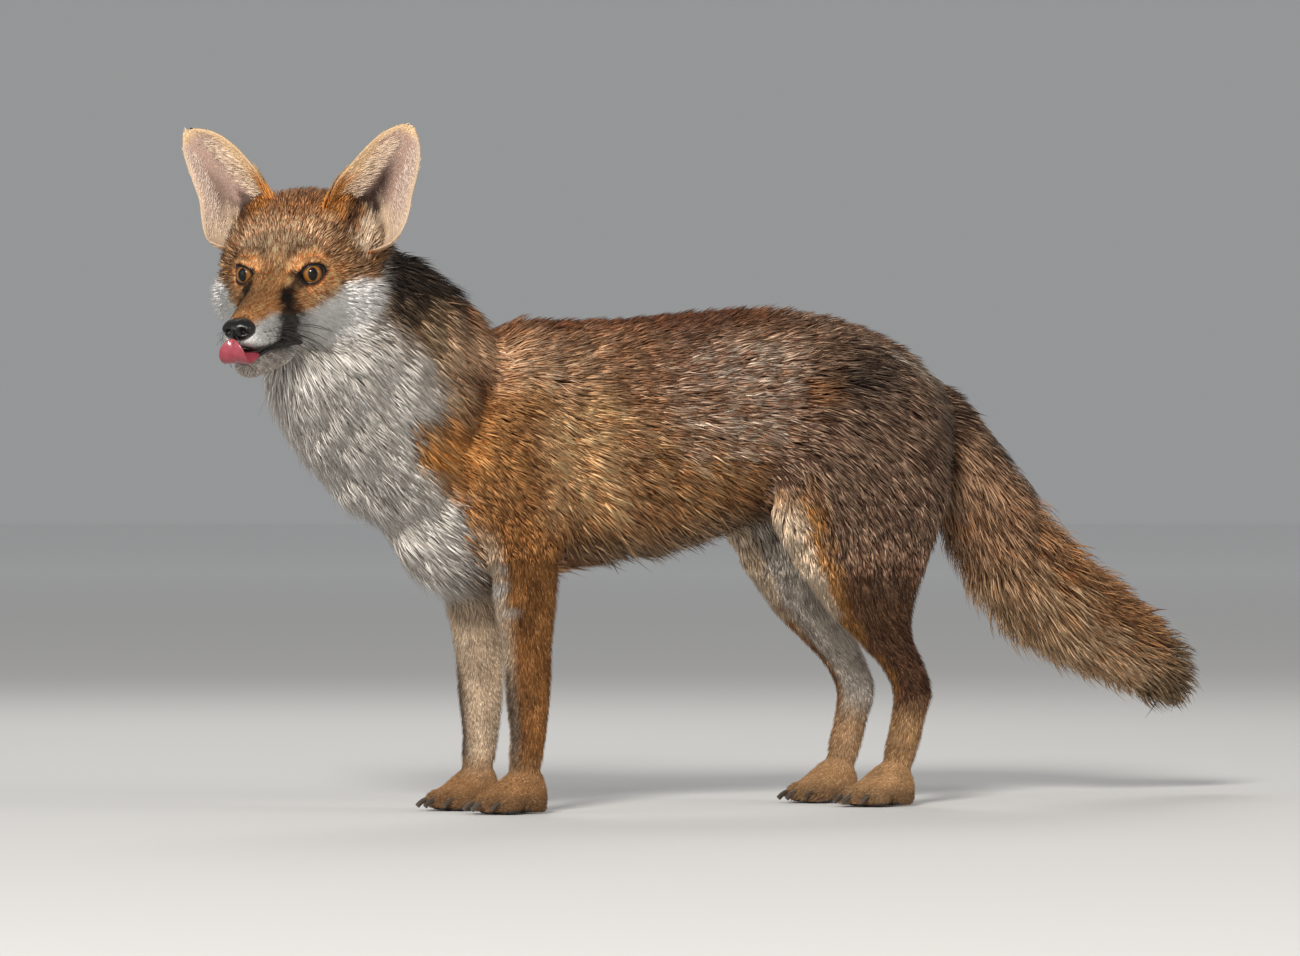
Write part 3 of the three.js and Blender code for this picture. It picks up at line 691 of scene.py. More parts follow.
def castSkin():  # one closed mesh round all the parts
    places, faces = joinParts(makeSkinParts())
    net = bpy.data.meshes.new("blank")
    net.from_pydata(world(places).tolist(), [], faces)
    rough = addPiece("blank", net)
    remesh = rough.modifiers.new("cloak", "REMESH")
    remesh.mode, remesh.voxel_size = "VOXEL", skinSpec["voxel"] * mm
    mesh = bpy.data.meshes.new_from_object(rough.evaluated_get(bpy.context.evaluated_depsgraph_get()))
    bpy.data.objects.remove(rough)
    stage(f"skin cast with {len(mesh.polygons)} faces")
    return mesh


def fineFaces(mesh):  # those over the face and the feet
    centres = np.empty(len(mesh.polygons) * 3, np.float32)
    mesh.polygons.foreach_get("center", centres)
    c = centres.reshape(-1, 3) / mm - shift
    h = toHead(c)
    return ((h[:, 0] > -26) & (h[:, 2] > -62) & (np.abs(h[:, 1]) < 62)) | ((c[:, 2] < 46) & (c[:, 0] < 260))


def fromEye(h, side, distance):  # the step that brings points to that distance from the eye's middle
    rel = h - eyeAt(side)
    far = np.linalg.norm(rel, axis=1)
    return rel / far[:, None] * (distance - far)[:, None]


def makeSkin():
    mesh = castSkin()
    p, edges = readMesh(mesh)
    seam = jointNearness(p)
    p = relax(p, edges, skinSpec["evenSteps"])
    writePlaces(mesh, relax(p, edges, skinSpec["seamSteps"], 0.6, None, seam))
    splitFaces(mesh, fineFaces(mesh))
    p, edges = readMesh(mesh)
    h = toHead(relax(p, edges, skinSpec["fineSteps"]))
    face = h[:, 0] > faceSpec["from"]
    h[face] = sculptFace(h[face])
    for side in sides.values():
        inside = face & (offRim(h, side)[1] < faceSpec["lidSkin"])
        h = h + fromEye(h, side, faceSpec["lidSkin"]) * inside[:, None]
    tree = treeOf(mesh, fromHead(h))
    near = np.zeros(len(h))
    for side in sides.values():
        off, far = offRim(h, side)
        near = np.maximum(near, face * np.exp(-(((far - 17) / 6) ** 2)))
        pit = face * (far > faceSpec["pit"]) * (1 - smooth(far, 14, 25)) * (1 - smooth(off, 8, 17))
        h = h + fromEye(h, side, faceSpec["pit"]) * pit[:, None]
    p = relax(fromHead(h), edges, skinSpec["eyeSteps"], 0.5, None, near)
    writePlaces(mesh, p)
    p = p - vertexNormals(mesh) * toeGrooves(p)[:, None]
    p[:, 2] = np.maximum(p[:, 2], 0.6)  # the soles are flat, just over the floor
    writePlaces(mesh, p)
    return mesh, p, tree


def toeGrooves(p):  # how deep the skin sinks between the toes
    depth = np.zeros(len(p))
    for x, out in pawPlaces.values():
        ahead, aside = x - p[:, 0], np.abs(p[:, 1]) - out
        for middle in (-11.5, 0, 11.5):
            line = np.exp(-(((aside - middle) / 1.8) ** 2)) * smooth(ahead, 10, 20) * smooth(ahead, 52, 44)
            depth = np.maximum(depth, 3.0 * line * smooth(p[:, 2], 2, 5) * smooth(p[:, 2], 26, 20))
    return depth


def jointNearness(p):  # 1 where legs, neck and tail meet the trunk, and the neck the skull
    q = folded(p)
    trunk = placeOn(forms["torso"], q, axisX)["gap"]
    neck, tail = placeOn(forms["neck"], p)["gap"], placeOn(forms["tail"], p)["gap"]
    legs = [placeOn(forms[leg], q, -axisZ)["gap"] for leg in ("foreleg_right", "hindleg_right")]
    skull = placeOn(forms["skull"], toHead(p), axisX)["gap"]
    near = haze((skull, neck), (-5, -10), (9, 10))
    for other in (*legs, neck, tail):
        near = np.maximum(near, haze((trunk, other), (-8, -8), (14, 14)))
    return near


def treeOf(mesh, p):
    return BVHTree.FromPolygons([tuple(v) for v in p], [tuple(f.vertices) for f in mesh.polygons])


# where a point of the skin belongs, and how the coat lies there
def roundGap(p, ball):  # how far outside a mass's ball
    rel = p - np.array(ball["at"])
    e = np.linalg.norm(rel / ball["half"], axis=1) + 1e-6
    return np.linalg.norm(rel, axis=1) * (1 - 1 / e)


groups = ["head", "neck", "torso", "fore", "hind", "foot", "tail"]


def headLie(h):  # back over the skull, fanned out from the eyes and down the cheeks
    s = h[:, 1] / 60
    lie = np.zeros_like(h)
    lie[:, 0] = -1
    lie[:, 1] = 0.55 * s * smooth(h[:, 0], 60, -20)
    lie[:, 2] = np.where(h[:, 2] > 0, 0.25 * smooth(h[:, 0], 30, -10), -0.45 * smooth(h[:, 2], -5, -35))
    for side in sides.values():
        rel = h - eyeAt(side)
        far = np.linalg.norm(rel, axis=1)
        lie += unit(rel) * (1.1 * (1 - smooth(far, 13, 30)) * smooth(np.abs(h[:, 1]), 5, 14))[:, None]
    ruff = smooth(h[:, 0], -10, -50) * smooth(np.abs(h[:, 1]), 30, 50) * smooth(h[:, 2], 5, -25)
    lie[:, 2] -= 0.5 * ruff
    lie[:, 1] += np.sign(h[:, 1]) * 0.25 * ruff
    for side in sides.values():
        near, _ = earNearness(h, side)
        lie = mix(unit(lie), earTurn(side)[:, 2] - 0.2 * earTurn(side)[:, 0], 0.9 * near)
    return unit(lie)


def earNearness(h, side):  # 1 round the ear's root, and the point in the ear's own frame
    e = (h - earAt(side)) @ earTurn(side)
    round = np.hypot(e[:, 0] - 4, e[:, 1])
    return (1 - smooth(round, 25, 40)) * smooth(e[:, 2], -24, -8), e


def inCup(e):  # 1 on the part of the skull that the ear's cup holds, in the ear's own frame
    return (1 - smooth(np.hypot(e[:, 0] - 2, e[:, 1]), 20, 28)) * smooth(e[:, 2], -3, 5)


def fieldsAt(p, normal):
    flip = np.where(p[:, 1] < 0, -1.0, 1.0)[:, None] * axisY + axisX + axisZ
    q, h = folded(p), toHead(p)
    skull, jaw = placeOn(forms["skull"], h, axisX), placeOn(forms["jaw"], h, axisX)
    masses = [roundGap(folded(h), mass) for mass in (muzzlePad, cheekBone, throatMass)]
    paws = [placeOn(forms[paw], q, -axisX) for paw in ("forepaw_right", "hindpaw_right")]
    at = {
        "neck": placeOn(forms["neck"], p),
        "torso": placeOn(forms["torso"], p, axisX),
        "tail": placeOn(forms["tail"], p),
        "fore": placeOn(forms["foreleg_right"], q, -axisZ),
        "hind": placeOn(forms["hindleg_right"], q, -axisZ),
    }
    gaps = {k: v["gap"] for k, v in at.items()}
    gaps["head"] = np.minimum.reduce([skull["gap"], jaw["gap"], *masses])
    gaps["foot"] = np.minimum(paws[0]["gap"], paws[1]["gap"])
    gaps["neck"] = gaps["neck"] + 3 + 60 * smooth(h[:, 0], -52, -30) * smooth(h[:, 2], -62, -48)
    gaps["tail"] = gaps["tail"] + 7
    weights = np.stack([np.exp(-np.clip(gaps[g], -30, 80) / 5) for g in groups], -1)
    weights /= weights.sum(1, keepdims=True)
    lies = {k: v["tangent"] for k, v in at.items()}
    lies["head"] = headLie(h) @ headTurn.T
    lies["foot"] = np.tile([-0.9, 0.0, -0.45], (len(p), 1))
    down = smooth(q[:, 2], 345, 225) * 0.75 + 0.12
    lies["torso"] = lies["torso"] - down[:, None] * axisZ
    upper = smooth(q[:, 2], 190, 300)[:, None]  # the upper legs' hair runs back as the trunk's does
    for leg, back in (("fore", 1.3), ("hind", 1.1)):
        lies[leg] = unit(lies[leg] * flip + upper * (back * axisX))
    lie = sum(weights[:, i:i + 1] * unit(lies[g]) for i, g in enumerate(groups))
    lie = unit(lie - (lie * normal).sum(1, keepdims=True) * normal)
    places = {"q": q, "h": h, "at": at, "skull": skull, "paws": paws}  # q has both sides laid on one
    return {"weights": weights, "lie": lie, "normal": normal, **places}

# markings: each tone is the middle of a hair and its tip
toneRows = {
    "back": ((132, 88, 58), (200, 156, 118)), "spine": ((70, 33, 13), (124, 66, 30)),
    "flank": ((138, 92, 52), (210, 170, 122)), "silver": ((146, 114, 94), (252, 234, 214)),
    "haunch": ((86, 62, 48), (188, 156, 130)), "hip": ((44, 34, 29), (108, 90, 76)),
    "rumpEdge": ((128, 112, 94), (214, 200, 180)), "hipRust": ((112, 72, 42), (168, 122, 82)),
    "belly": ((88, 72, 58), (176, 152, 124)), "shoulder": ((134, 88, 50), (200, 150, 98)),
    "smudge": ((60, 46, 36), (124, 94, 68)), "bib": ((197, 189, 180), (251, 246, 240)),
    # the nape tone is near black: the neck's own dark hair and painted shadow
    "mottle": ((98, 92, 86), (176, 171, 165)), "nape": ((34, 28, 24), (70, 56, 46)),
    "collar": ((116, 88, 62), (216, 188, 152)), "foreleg": ((138, 90, 48), (192, 138, 84)),
    "cream": ((206, 180, 152), (242, 222, 198)), "inner": ((168, 156, 144), (214, 204, 192)),
    "border": ((170, 112, 54), (214, 162, 98)), "hock": ((76, 46, 28), (130, 88, 56)),
    "tan": ((176, 134, 92), (216, 180, 138)), "sock": ((58, 45, 36), (96, 76, 60)),
    "tail": ((106, 68, 40), (170, 126, 84)), "tailPale": ((164, 130, 96), (216, 184, 148)),
    "tailRust": ((132, 86, 52), (180, 132, 90)), "tailDark": ((46, 37, 30), (104, 86, 70)),
    "tailTip": ((86, 66, 46), (136, 112, 84)),
    "face": ((214, 130, 68), (255, 210, 150)), "brow": ((160, 112, 76), (248, 212, 172)),
    "crown": ((134, 78, 38), (206, 148, 92)), "earBase": ((182, 112, 50), (222, 162, 92)),
    "temple": ((86, 57, 34), (176, 136, 94)),
    "white": ((234, 230, 225), (255, 253, 250)), "chin": ((158, 146, 137), (232, 222, 212)),
    "streak": ((26, 21, 19), (50, 40, 33)), "cheekBack": ((96, 74, 56), (204, 180, 148)),
    "black": ((20, 17, 16), (30, 26, 24)), "earInside": ((174, 144, 130), (204, 178, 164)),
    "earRim": ((216, 182, 140), (244, 220, 184)), "earBack": ((44, 34, 28), (66, 52, 42)),
    "earHair": ((184, 162, 148), (222, 204, 190)), "shoulderTop": ((176, 134, 100), (250, 218, 184)),
    "rust": ((58, 30, 14), (118, 72, 40)), "gold": ((184, 118, 52), (234, 174, 104)),
    # the canal tone is painted shade, the dark deep in the ear's hollow
    "canalShade": ((46, 31, 27), (80, 58, 50)), "wheat": ((184, 136, 90), (250, 210, 160)),
}
tones = {name: np.array([rgb(*colour) for colour in pair]) for name, pair in toneRows.items()}


def plain(tone, count):
    return np.tile(tones[tone], (count, 1, 1))


def lay(coat, *layers):  # coat is (points, middle and tip, rgb); a layer is a tone and how much of it
    for tone, mask in layers:
        share = np.clip(mask, 0, 1)[:, None, None]
        coat = coat * (1 - share) + tones[tone] * share
    return coat


def whiskerBeds():  # row, place in the row, and where each whisker's root is, ahead and up
    rows, inRow = whiskerSpec["rows"], whiskerSpec["inRow"]
    return [(row, k, 66 - 7.2 * k - 1.5 * row, -36 - 3.1 * row) for row in range(rows) for k in range(inRow)]


# ahead, out, up and reach of the dark run from the lower lid and the eye's inner corner to the smudge
tearRun = [
    (4, 24.5, -8.5, 2.4), (7.5, 20.5, -5.5, 3.5), (6, 17.8, 0, 2.3), (8.5, 17.8, -3.5, 3.5),
    (14.8, 19, -9, 4.4), (19.5, 17, -12, 4.2), (25, 17, -18, 5.2),
]
# the same of the two bright runs at the ear's root
earRuns = [((-48, 33, 44, 9), (-50, 38, 34, 9)), ((-58, 58, 12, 5), (-66, 66, 4, 6))]
# place ahead of the eyes, and how high the white of the cheek and muzzle reaches
whiteLine = ([-75, -60, -50, -32, -19, -10, 7, 20, 35, 50, 66, 80],
             [2, -8, -14, -8, -10, -18, -25, -28, -27, -24, -27, -30])


def offSegment(p, a, b):  # how far outside a tapering capsule
    a, b = np.array(a, float), np.array(b, float)
    share = np.clip((p - a[:3]) @ (b[:3] - a[:3]) / ((b[:3] - a[:3]) ** 2).sum(), 0, 1)
    spot = a + (b - a) * share[:, None]
    return np.linalg.norm(p - spot[:, :3], axis=1) - spot[:, 3]


def headMarks(h):
    x, z, out = h[:, 0], h[:, 2], folded(h)
    s = out[:, 1]
    blur, fine = drift(h, 26, 0) * 2.4, drift(h, 9, 5)
    ring = np.minimum.reduce([np.linalg.norm((h - eyeAt(side)) * [1, 1, 1.15], axis=1) for side in (-1, 1)])
    root = np.minimum.reduce([offSegment(out, a, b) for a, b in earRuns])
    tear = np.minimum.reduce([offSegment(out, a, b) for a, b in zip(tearRun[:-1], tearRun[1:])])
    line = np.interp(x, *whiteLine)
    # the dark line from the eye down the muzzle is the fox's own marking; its broad, dark lower end is also
    # painted shade beside the cheek
    wide = np.interp(z, [-46, -30, -16, 0], [15.5, 12.5, 8.5, 5])
    smudge = np.exp(-(((x - 27 - (z + 30) * -0.14 + fine * 2.6) / wide) ** 2))
    smudge = smudge * smooth(z + fine, 2, -16) * smooth(z, -62, -50) * smooth(s + fine * 1.5, 8, 18)
    coat = lay(
        plain("brow", len(h)),
        ("crown", smooth(z + blur, 32, 48) * 0.85),
        ("temple", smooth(s + blur, 30, 44) * smooth(z, -14, 0) * smooth(z, 44, 26) * 0.8),
        ("face", smooth(x + blur, -2, 14) * smooth(z, 24, 10)),
        ("face", (1 - smooth(ring + blur, 16, 28)) * 0.85),
        ("face", bump(s, 0, 11) * smooth(x, -14, 4) * 0.6),
        ("earBase", smooth(root + blur, 11, 0) * 0.85),
        ("white", smooth(z + blur * 0.6, line + 3, line - 3) * smooth(x, -84, -70)),
        ("cheekBack", smooth(x + fine * 3, -64, -78) * smooth(z, 16, -10) * 0.9),
        ("streak", np.clip(smudge * 1.7, 0, 1) * 0.92),
        ("streak", smooth(tear + fine * 2.2, 2.4, -2.0) * 0.9),
        ("streak", haze(out.T, (-3, 12, 15), (6, 3.6, 6)) * 0.6),
    )
    for side in sides.values():
        off, far = offRim(h, side)
        off = off + 4 * smooth(eyeAngles(h, side)[1], 0.1, -0.2)
        _, ear = earNearness(h, side)
        across, cup = -side * ear[:, 1], inCup(ear)
        coat = lay(
            coat,
            ("temple", smooth(far, 19, 15) * (1 - smooth(off + fine * 2, 10, 18)) * (x > -30) * 0.75),
            ("black", smooth(far, 16, 13) * (1 - smooth(off, 8, 12))),
            ("cream", cup * smooth(across + fine * 3, -8, 2)),
            # the canal tone is painted shade: the dark deep in the ear's hollow, on the skull inside the cup
            ("canalShade", cup * bump(across, -9, 9) * smooth(ear[:, 2], 3, 12) * 0.9),
        )
    beds = np.array(whiskerBeds())
    near = np.min(np.hypot(x[:, None] - beds[:, 2], z[:, None] - beds[:, 3]), axis=1)
    coat = lay(
        coat,
        ("temple", smooth(roundGap(h, noseSpec) + fine, 4.5, 0.5) * smooth(z, -34, -26) * 0.85),
        ("streak", (1 - smooth(near, 0.7, 1.5)) * (s > 8) * 0.75),
        ("chin", smooth(z, -50, -54) * smooth(x, 16, 34)),
        ("streak", smooth(z, -44, -47) * smooth(x, 0, 10) * smooth(z, -54, -50) * 0.85),
        ("bib", smooth(z, -46, -58) * smooth(x, 24, 4) * 0.8),
    )
    return coat * (1 + 0.12 * fine * smooth(x, 30, 0))[:, None, None]


# height, and how far back the white of the throat and breast reaches there
bibLine = ([165, 180, 208, 237, 262, 276, 288, 300, 320, 341, 355, 366, 385, 400, 430],
           [-160, -164, -176, -190, -212, -232, -240, -236, -215, -206, -216, -238, -260, -274, -294])


def bodyMarks(f, p):
    q, at, lift = f["q"], f["at"], f["normal"][:, 2]
    x, _, z = q.T
    n = len(p)
    head, foot = f["weights"][:, 0], f["weights"][:, 5]
    blur, slow, fleck = drift(p, 60, 1) * 9, drift(p, 150, 2), drift(p * [1, 1, 1.6], 30, 3)
    along = (p * f["lie"]).sum(1, keepdims=True)
    wave = drift(p - f["lie"] * along * 0.55, 17, 6)  # tufts that part in streaks along the lie
    hips = (("hip", haze((x + blur, z), (172, 338), (46, 26)) * 0.85),
            ("hipRust", haze((x + blur, z), (132, 330), (16, 13)) * 0.8))
    silver = smooth(x + blur, -60, 40) * smooth(x + blur, 150, 100) * smooth(z, 388, 352)
    torso = lay(
        plain("back", n),
        ("spine", smooth(z + blur * 0.6, 360, 386) * (0.85 - 0.5 * smooth(x, 60, 150))),
        ("flank", smooth(z + blur, 330, 275) * smooth(x + blur, 120, 40) * 0.9),
        ("silver", silver * smooth(z + blur, 258, 305) * (0.62 + 0.3 * wave)),
        ("shoulder", smooth(x + blur, -80, -130) * smooth(z + blur, 372, 335) * 0.8),
        ("smudge", bump(x + blur * 0.8, -104 + (z - 330) * 0.35, 26) * bump(z, 335, 60) * 0.45),
        ("haunch", smooth(x + blur * 1.3, 92, 150) * 0.9),
        *hips,
        ("hip", haze((x, z), (243, 300), (24, 46)) * 0.9),
        ("rumpEdge", haze((x + blur * 0.5, z), (238, 345), (16, 16)) * 0.8),
        ("spine", smooth(slow + 0.5 * fleck, 0.5, 1.3) * 0.45),
        # darker where the surface faces down: the belly's own duller hair and painted shade under the trunk
        ("belly", smooth(lift, -0.35, -0.8) * 0.9),
    )
    nape, tufty = at["neck"]["b"], smooth(fleck + 0.6 * slow, 0.3, 0.9)
    neck = lay(
        plain("collar", n),
        # near black over the nape and just behind the head: the neck's own dark hair and painted shadow of the
        # head and ears
        ("nape", smooth(nape + fleck * 0.1 - 0.25 * smooth(x, -215, -250), -0.35, -0.85)),
        ("nape", smooth(x, -262, -290) * smooth(nape, 0.25, -0.2) * 0.9),
        ("back", smooth(x + blur, -215, -165) * smooth(z, 405, 380) * 0.85),
        ("shoulder", tufty * smooth(x + blur, -262, -236) * smooth(z, 365, 330) * 0.6),
    )
    a, b = at["fore"]["a"], at["fore"]["b"]
    fore = lay(
        plain("foreleg", n),
        ("shoulder", smooth(z + blur, 215, 260)),
        ("smudge", bump(x + blur * 0.8, -112 + (z - 330) * 0.35, 28) * bump(z, 320, 60) * 0.4),
        ("border", bump(x + blur, -178, 30) * bump(z, 285, 60) * 0.5),
        ("cream", smooth(a + fleck * 0.15, 0.1, -0.35) * smooth(z, 240, 200) * 0.9),
        ("cream", smooth(b, -0.5, -0.9) * smooth(a, 0.75, 0.3) * smooth(z, 235, 200) * 0.85),
        ("sock", haze((a,), (0.15,), (0.45,)) * smooth(b, -0.1, -0.6) * smooth(z + blur, 128, 100) * 0.8),
        ("tan", smooth(z, 50, 26) * 0.6),
    )
    a, b = at["hind"]["a"], at["hind"]["b"]
    edge = b + 0.25 * smooth(z, 190, 110)
    border = smooth(edge + fleck * 0.08, -0.45, -0.72) * smooth(z + blur, 262, 226) * smooth(a, -0.6, 0)
    hind = lay(
        plain("haunch", n),
        *hips,
        ("hip", bump(x + blur * 0.5, 245, 36) * bump(z, 290, 70) * 0.85),
        ("hock", smooth(z + blur, 215, 160) * 0.8),
        ("inner", smooth(a + fleck * 0.12, 0.05, -0.35)),
        ("border", border * 0.85),
        ("cream", smooth(edge + fleck * 0.06, -0.7, -0.84) * smooth(z, 252, 225)),
        ("tan", smooth(z + blur * 0.5, 92, 60) * 0.85),
    )
    feet = lay(plain("tan", n), ("foreleg", (x < 30) * 0.5), ("sock", smooth(z, 20, 8) * 0.5))
    t = at["tail"]["t"]
    tail = lay(
        plain("tail", n),
        ("tailPale", smooth(lift + fleck * 0.25, 0.1, -0.5) * smooth(t, 0.25, 0.5) * 0.8),
        ("haunch", smooth(t, 0.5, 0.25) * 0.6),
        ("tailRust", smooth(fleck, 0.35, 0.8) * smooth(t, 0.15, 0.3) * 0.7),
        ("tailDark", smooth(lift + fleck * 0.2, 0.1, 0.6) * smooth(t, 0.42, 0.2) * 0.85),
        ("tailDark", np.exp(-(((t - 0.3) / 0.05) ** 2)) * smooth(lift, 0.2, 0.7) * 0.9),
        ("hip", smooth(t, 0.16, 0.06) * 0.8),
        ("tailTip", smooth(t + fleck * 0.03, 0.86, 0.95)),
    )
    sharp = f["weights"] ** 1.3
    sharp = sharp / sharp.sum(1, keepdims=True)
    sets = (headMarks(f["h"]), neck, torso, fore, hind, feet, tail)  # in the order of the groups
    coat = sum(sharp[:, i, None, None] * marks for i, marks in enumerate(sets))
    throat, line = 1 - smooth(head, 0.3, 0.75), np.interp(z, *bibLine)
    side = smooth(x + fleck * 8 + wave * 3, line + 10, line - 10) * smooth(nape + fleck * 0.1, -0.45, -0.05)
    front = smooth(q[:, 1], 26, 12) * smooth(x, -120, -150) * smooth(f["normal"][:, 0], -0.1, -0.5)
    bib = np.maximum(side, front * smooth(z, 360, 330)) * throat
    bib = bib * (1 - smooth(nape, -0.35, -0.6) * smooth(z, 300, 330)) * smooth(z, 120, 150)
    top = np.interp(x, [-200, -150], [394, 372])
    pale = smooth(x + blur, -236, -190) * smooth(x + blur, -50, -112) * smooth(z + blur * 0.6, 312, 342)
    wheat = smooth(x + blur * 0.6, -142, -112) * smooth(x + blur, -24, -76) * smooth(z + blur, 216, 242)
    coat = lay(
        coat,
        ("shoulderTop", pale * smooth(z + blur * 0.4, top, top - 20) * (0.76 + 0.24 * wave)),
        ("wheat", wheat * smooth(z + blur, 340, 300) * (0.82 + 0.2 * wave)),
        ("rust", haze((x + blur * 0.3, z), (-177, 328), (15, 12)) * smooth(head, 0.3, 0.1)),
        ("gold", haze((x, z), (-206, 284), (26, 24)) * 0.85),
        ("bib", bib),
        ("mottle", bib * smooth(wave + 0.4 * slow, 0.25, 1.0) * 0.55),
    )
    uneven = (0.16 * wave + 0.10 * fleck) * (1 - 0.6 * bib) * (1 - head) * (1 - 0.6 * foot)
    return coat * (1 + uneven)[:, None, None]


# how deep and long the coat is
def coatSize(f, p):
    h, q, w = f["h"], f["q"], f["weights"]
    x, z, s = h[:, 0], h[:, 2], np.abs(h[:, 1])
    lift, t, n = f["normal"][:, 2], f["at"]["tail"]["t"], len(p)
    long = np.interp(x, [-100, -60, -30, -8, 8, 20, 50, 80], [22, 17, 14, 11, 8, 5.5, 4.2, 3.2])
    ruff = smooth(x, 0, -45) * smooth(s, 26, 50) * smooth(z, 12, -18)
    long = long + ruff * 15 + smooth(z, -46, -62) * smooth(x, 20, 0) * 8
    roots = [earNearness(h, side) for side in (-1, 1)]
    climb = np.maximum(roots[0][0], roots[1][0])
    cup = np.maximum(inCup(roots[0][1]), inCup(roots[1][1]))
    ring = np.minimum.reduce([np.linalg.norm(h - eyeAt(side), axis=1) for side in (-1, 1)])
    long = long * (0.42 + 0.58 * smooth(ring, 13, 26)) * (1 - climb) + 16.0 * climb + 3 * cup
    rise = np.maximum(np.interp(x, *skullDepth), ruff * 11)
    rise = np.maximum(rise * (0.35 + 0.65 * smooth(ring, 14, 28)), 1.0) + 1.2 * climb + 4.5 * cup
    cheek = smooth(z, -14, -26) * bump(x, 6, 26) * smooth(s, 16, 26)
    puff = smooth(-h[:, 1], 24, 38) * bump(x, -12, 44)  # the far cheek
    puff = puff * smooth(z, -44, -24) * smooth(z, 40, 18)
    headLong = long + 3.5 * cheek + 5 * puff
    headRise = rise + 2.2 * cheek + 6 * puff * smooth(ring, 14, 24)
    legLong = np.interp(q[:, 2], [0, 40, 110, 200, 300], [5, 6.5, 8, 12, 24])
    legRise = np.interp(q[:, 2], *legDepth)
    tailLong = np.interp(t, [0, 0.15, 0.5, 0.9, 1], [26, 40, 52, 44, 32])
    tailDepth = forms["tailCoat"]["section"][:, 0] - forms["tail"]["section"][:, 0]
    tailRise = np.interp(t, forms["tail"]["t"], tailDepth) + skinSpec["tail"]
    torsoLong = 27 + 12 * smooth(lift, -0.1, -0.7) - 5 * smooth(lift, 0.6, 0.95)
    longs = (headLong, np.full(n, 36.0), torsoLong, legLong, legLong * 1.15, np.full(n, 3.4), tailLong)
    rises = (headRise, np.full(n, 13.0), np.full(n, 10.0), legRise, legRise, np.full(n, 1.1), tailRise)
    long = sum(w[:, i] * v for i, v in enumerate(longs))
    rise = sum(w[:, i] * v for i, v in enumerate(rises))
    rise = rise * (1 - 0.45 * bump(p[:, 0], -150, 34) * smooth(p[:, 2], 366, 384))  # smooth over the withers
    rise = rise * (1 - 1.4 * w[:, 1] * w[:, 2])  # and where the neck meets the trunk
    uneven = drift(p, 26, 7) * (1 - w[:, 0]) * (1 - w[:, 5])
    fringe = smooth(lift, -0.15, -0.6) * w[:, 2]
    uneven = uneven + 2.2 * fringe * np.sin(p[:, 0] * 0.7 + 3 * drift(p, 18, 3))
    return long * (1 + 0.12 * uneven), rise * (1 + 0.2 * uneven)


# tufts are closed three-sided spikes that lie along the body
tuftSpec = {"turn": 0.16, "curl": 0.05, "strand": 4.0, "height": 0.55, "pull": 9, "shade": 0.13, "streak": 0.17}
# by the number of bends: where the rings are along a tuft, and how wide each is
tuftShapes = {
    0: ([0, 1.0], [1.0]),
    1: ([0, 0.48, 1.0], [0.8, 1.0]),
    2: ([0, 0.33, 0.68, 1.0], [0.75, 1.0, 0.72]),
}


def clumpPull(root, tips, spacing, rng):  # from each tip towards its leader's, at most so far
    n = len(root)
    leaders = rng.choice(n, max(3, int(n * min(1, 1.0 / spacing))), replace=False)
    tree = KDTree(len(leaders))
    for k, i in enumerate(leaders):
        tree.insert(root[i], k)
    tree.balance()
    pull = tips[leaders[[tree.find(r)[1] for r in root]]] - tips
    reach = np.linalg.norm(pull, axis=1, keepdims=True)
    return pull * np.minimum(1, tuftSpec["pull"] / np.maximum(reach, 1e-6))


def tuftFaces(levels, count):  # triangles of one tuft, repeated
    faces = [(2, 1, 0)]
    for j in range(levels):
        for i in range(3):
            a, b = 3 * j + i, 3 * j + (i + 1) % 3
            faces += [(a, b, b + 3), (a, b + 3, a + 3)] if j < levels - 1 else [(a, b, 3 * levels)]
    return (np.array(faces)[None] + (np.arange(count) * (3 * levels + 1))[:, None, None]).reshape(-1, 3)


def tuftTones(colours, bends, levels, streak, vary, rng):  # middle and tip colours, spread over the levels
    n = len(colours)
    bright = smooth(colours[:, 0] @ [0.21, 0.72, 0.07], 0.16, 0.42)
    spread = rng.normal(0, tuftSpec["shade"], n) + tuftSpec["streak"] * streak
    shade = np.exp(spread * vary * (1 - 0.4 * bright))[:, None, None]
    light = (rng.random(n) * min(1, 0.3 + vary * 0.7) - 0.3 * streak)[:, None]
    hold = (0.4 + 0.42 * bright + (bends == 0) * 0.15 * (1 - bright))[:, None]  # pale hair is pale to its root
    body, end = colours[:, 0], colours[:, 1]
    tip = np.where(light < 0.52, end, np.where(light < 0.8, body, body * (hold + 0.1)))
    middle = np.where(rng.random(n)[:, None] < 0.3, mix(body, end, 0.5), body)
    ramp = [body * hold] + [middle if j == 1 else mix(middle, tip, 0.6) for j in range(1, levels)]
    ramp = [np.repeat(tone[:, None], 3, 1) for tone in ramp] + [tip[:, None]]
    return np.clip(np.concatenate(ramp, 1) * shade, 0, 1).reshape(-1, 3)


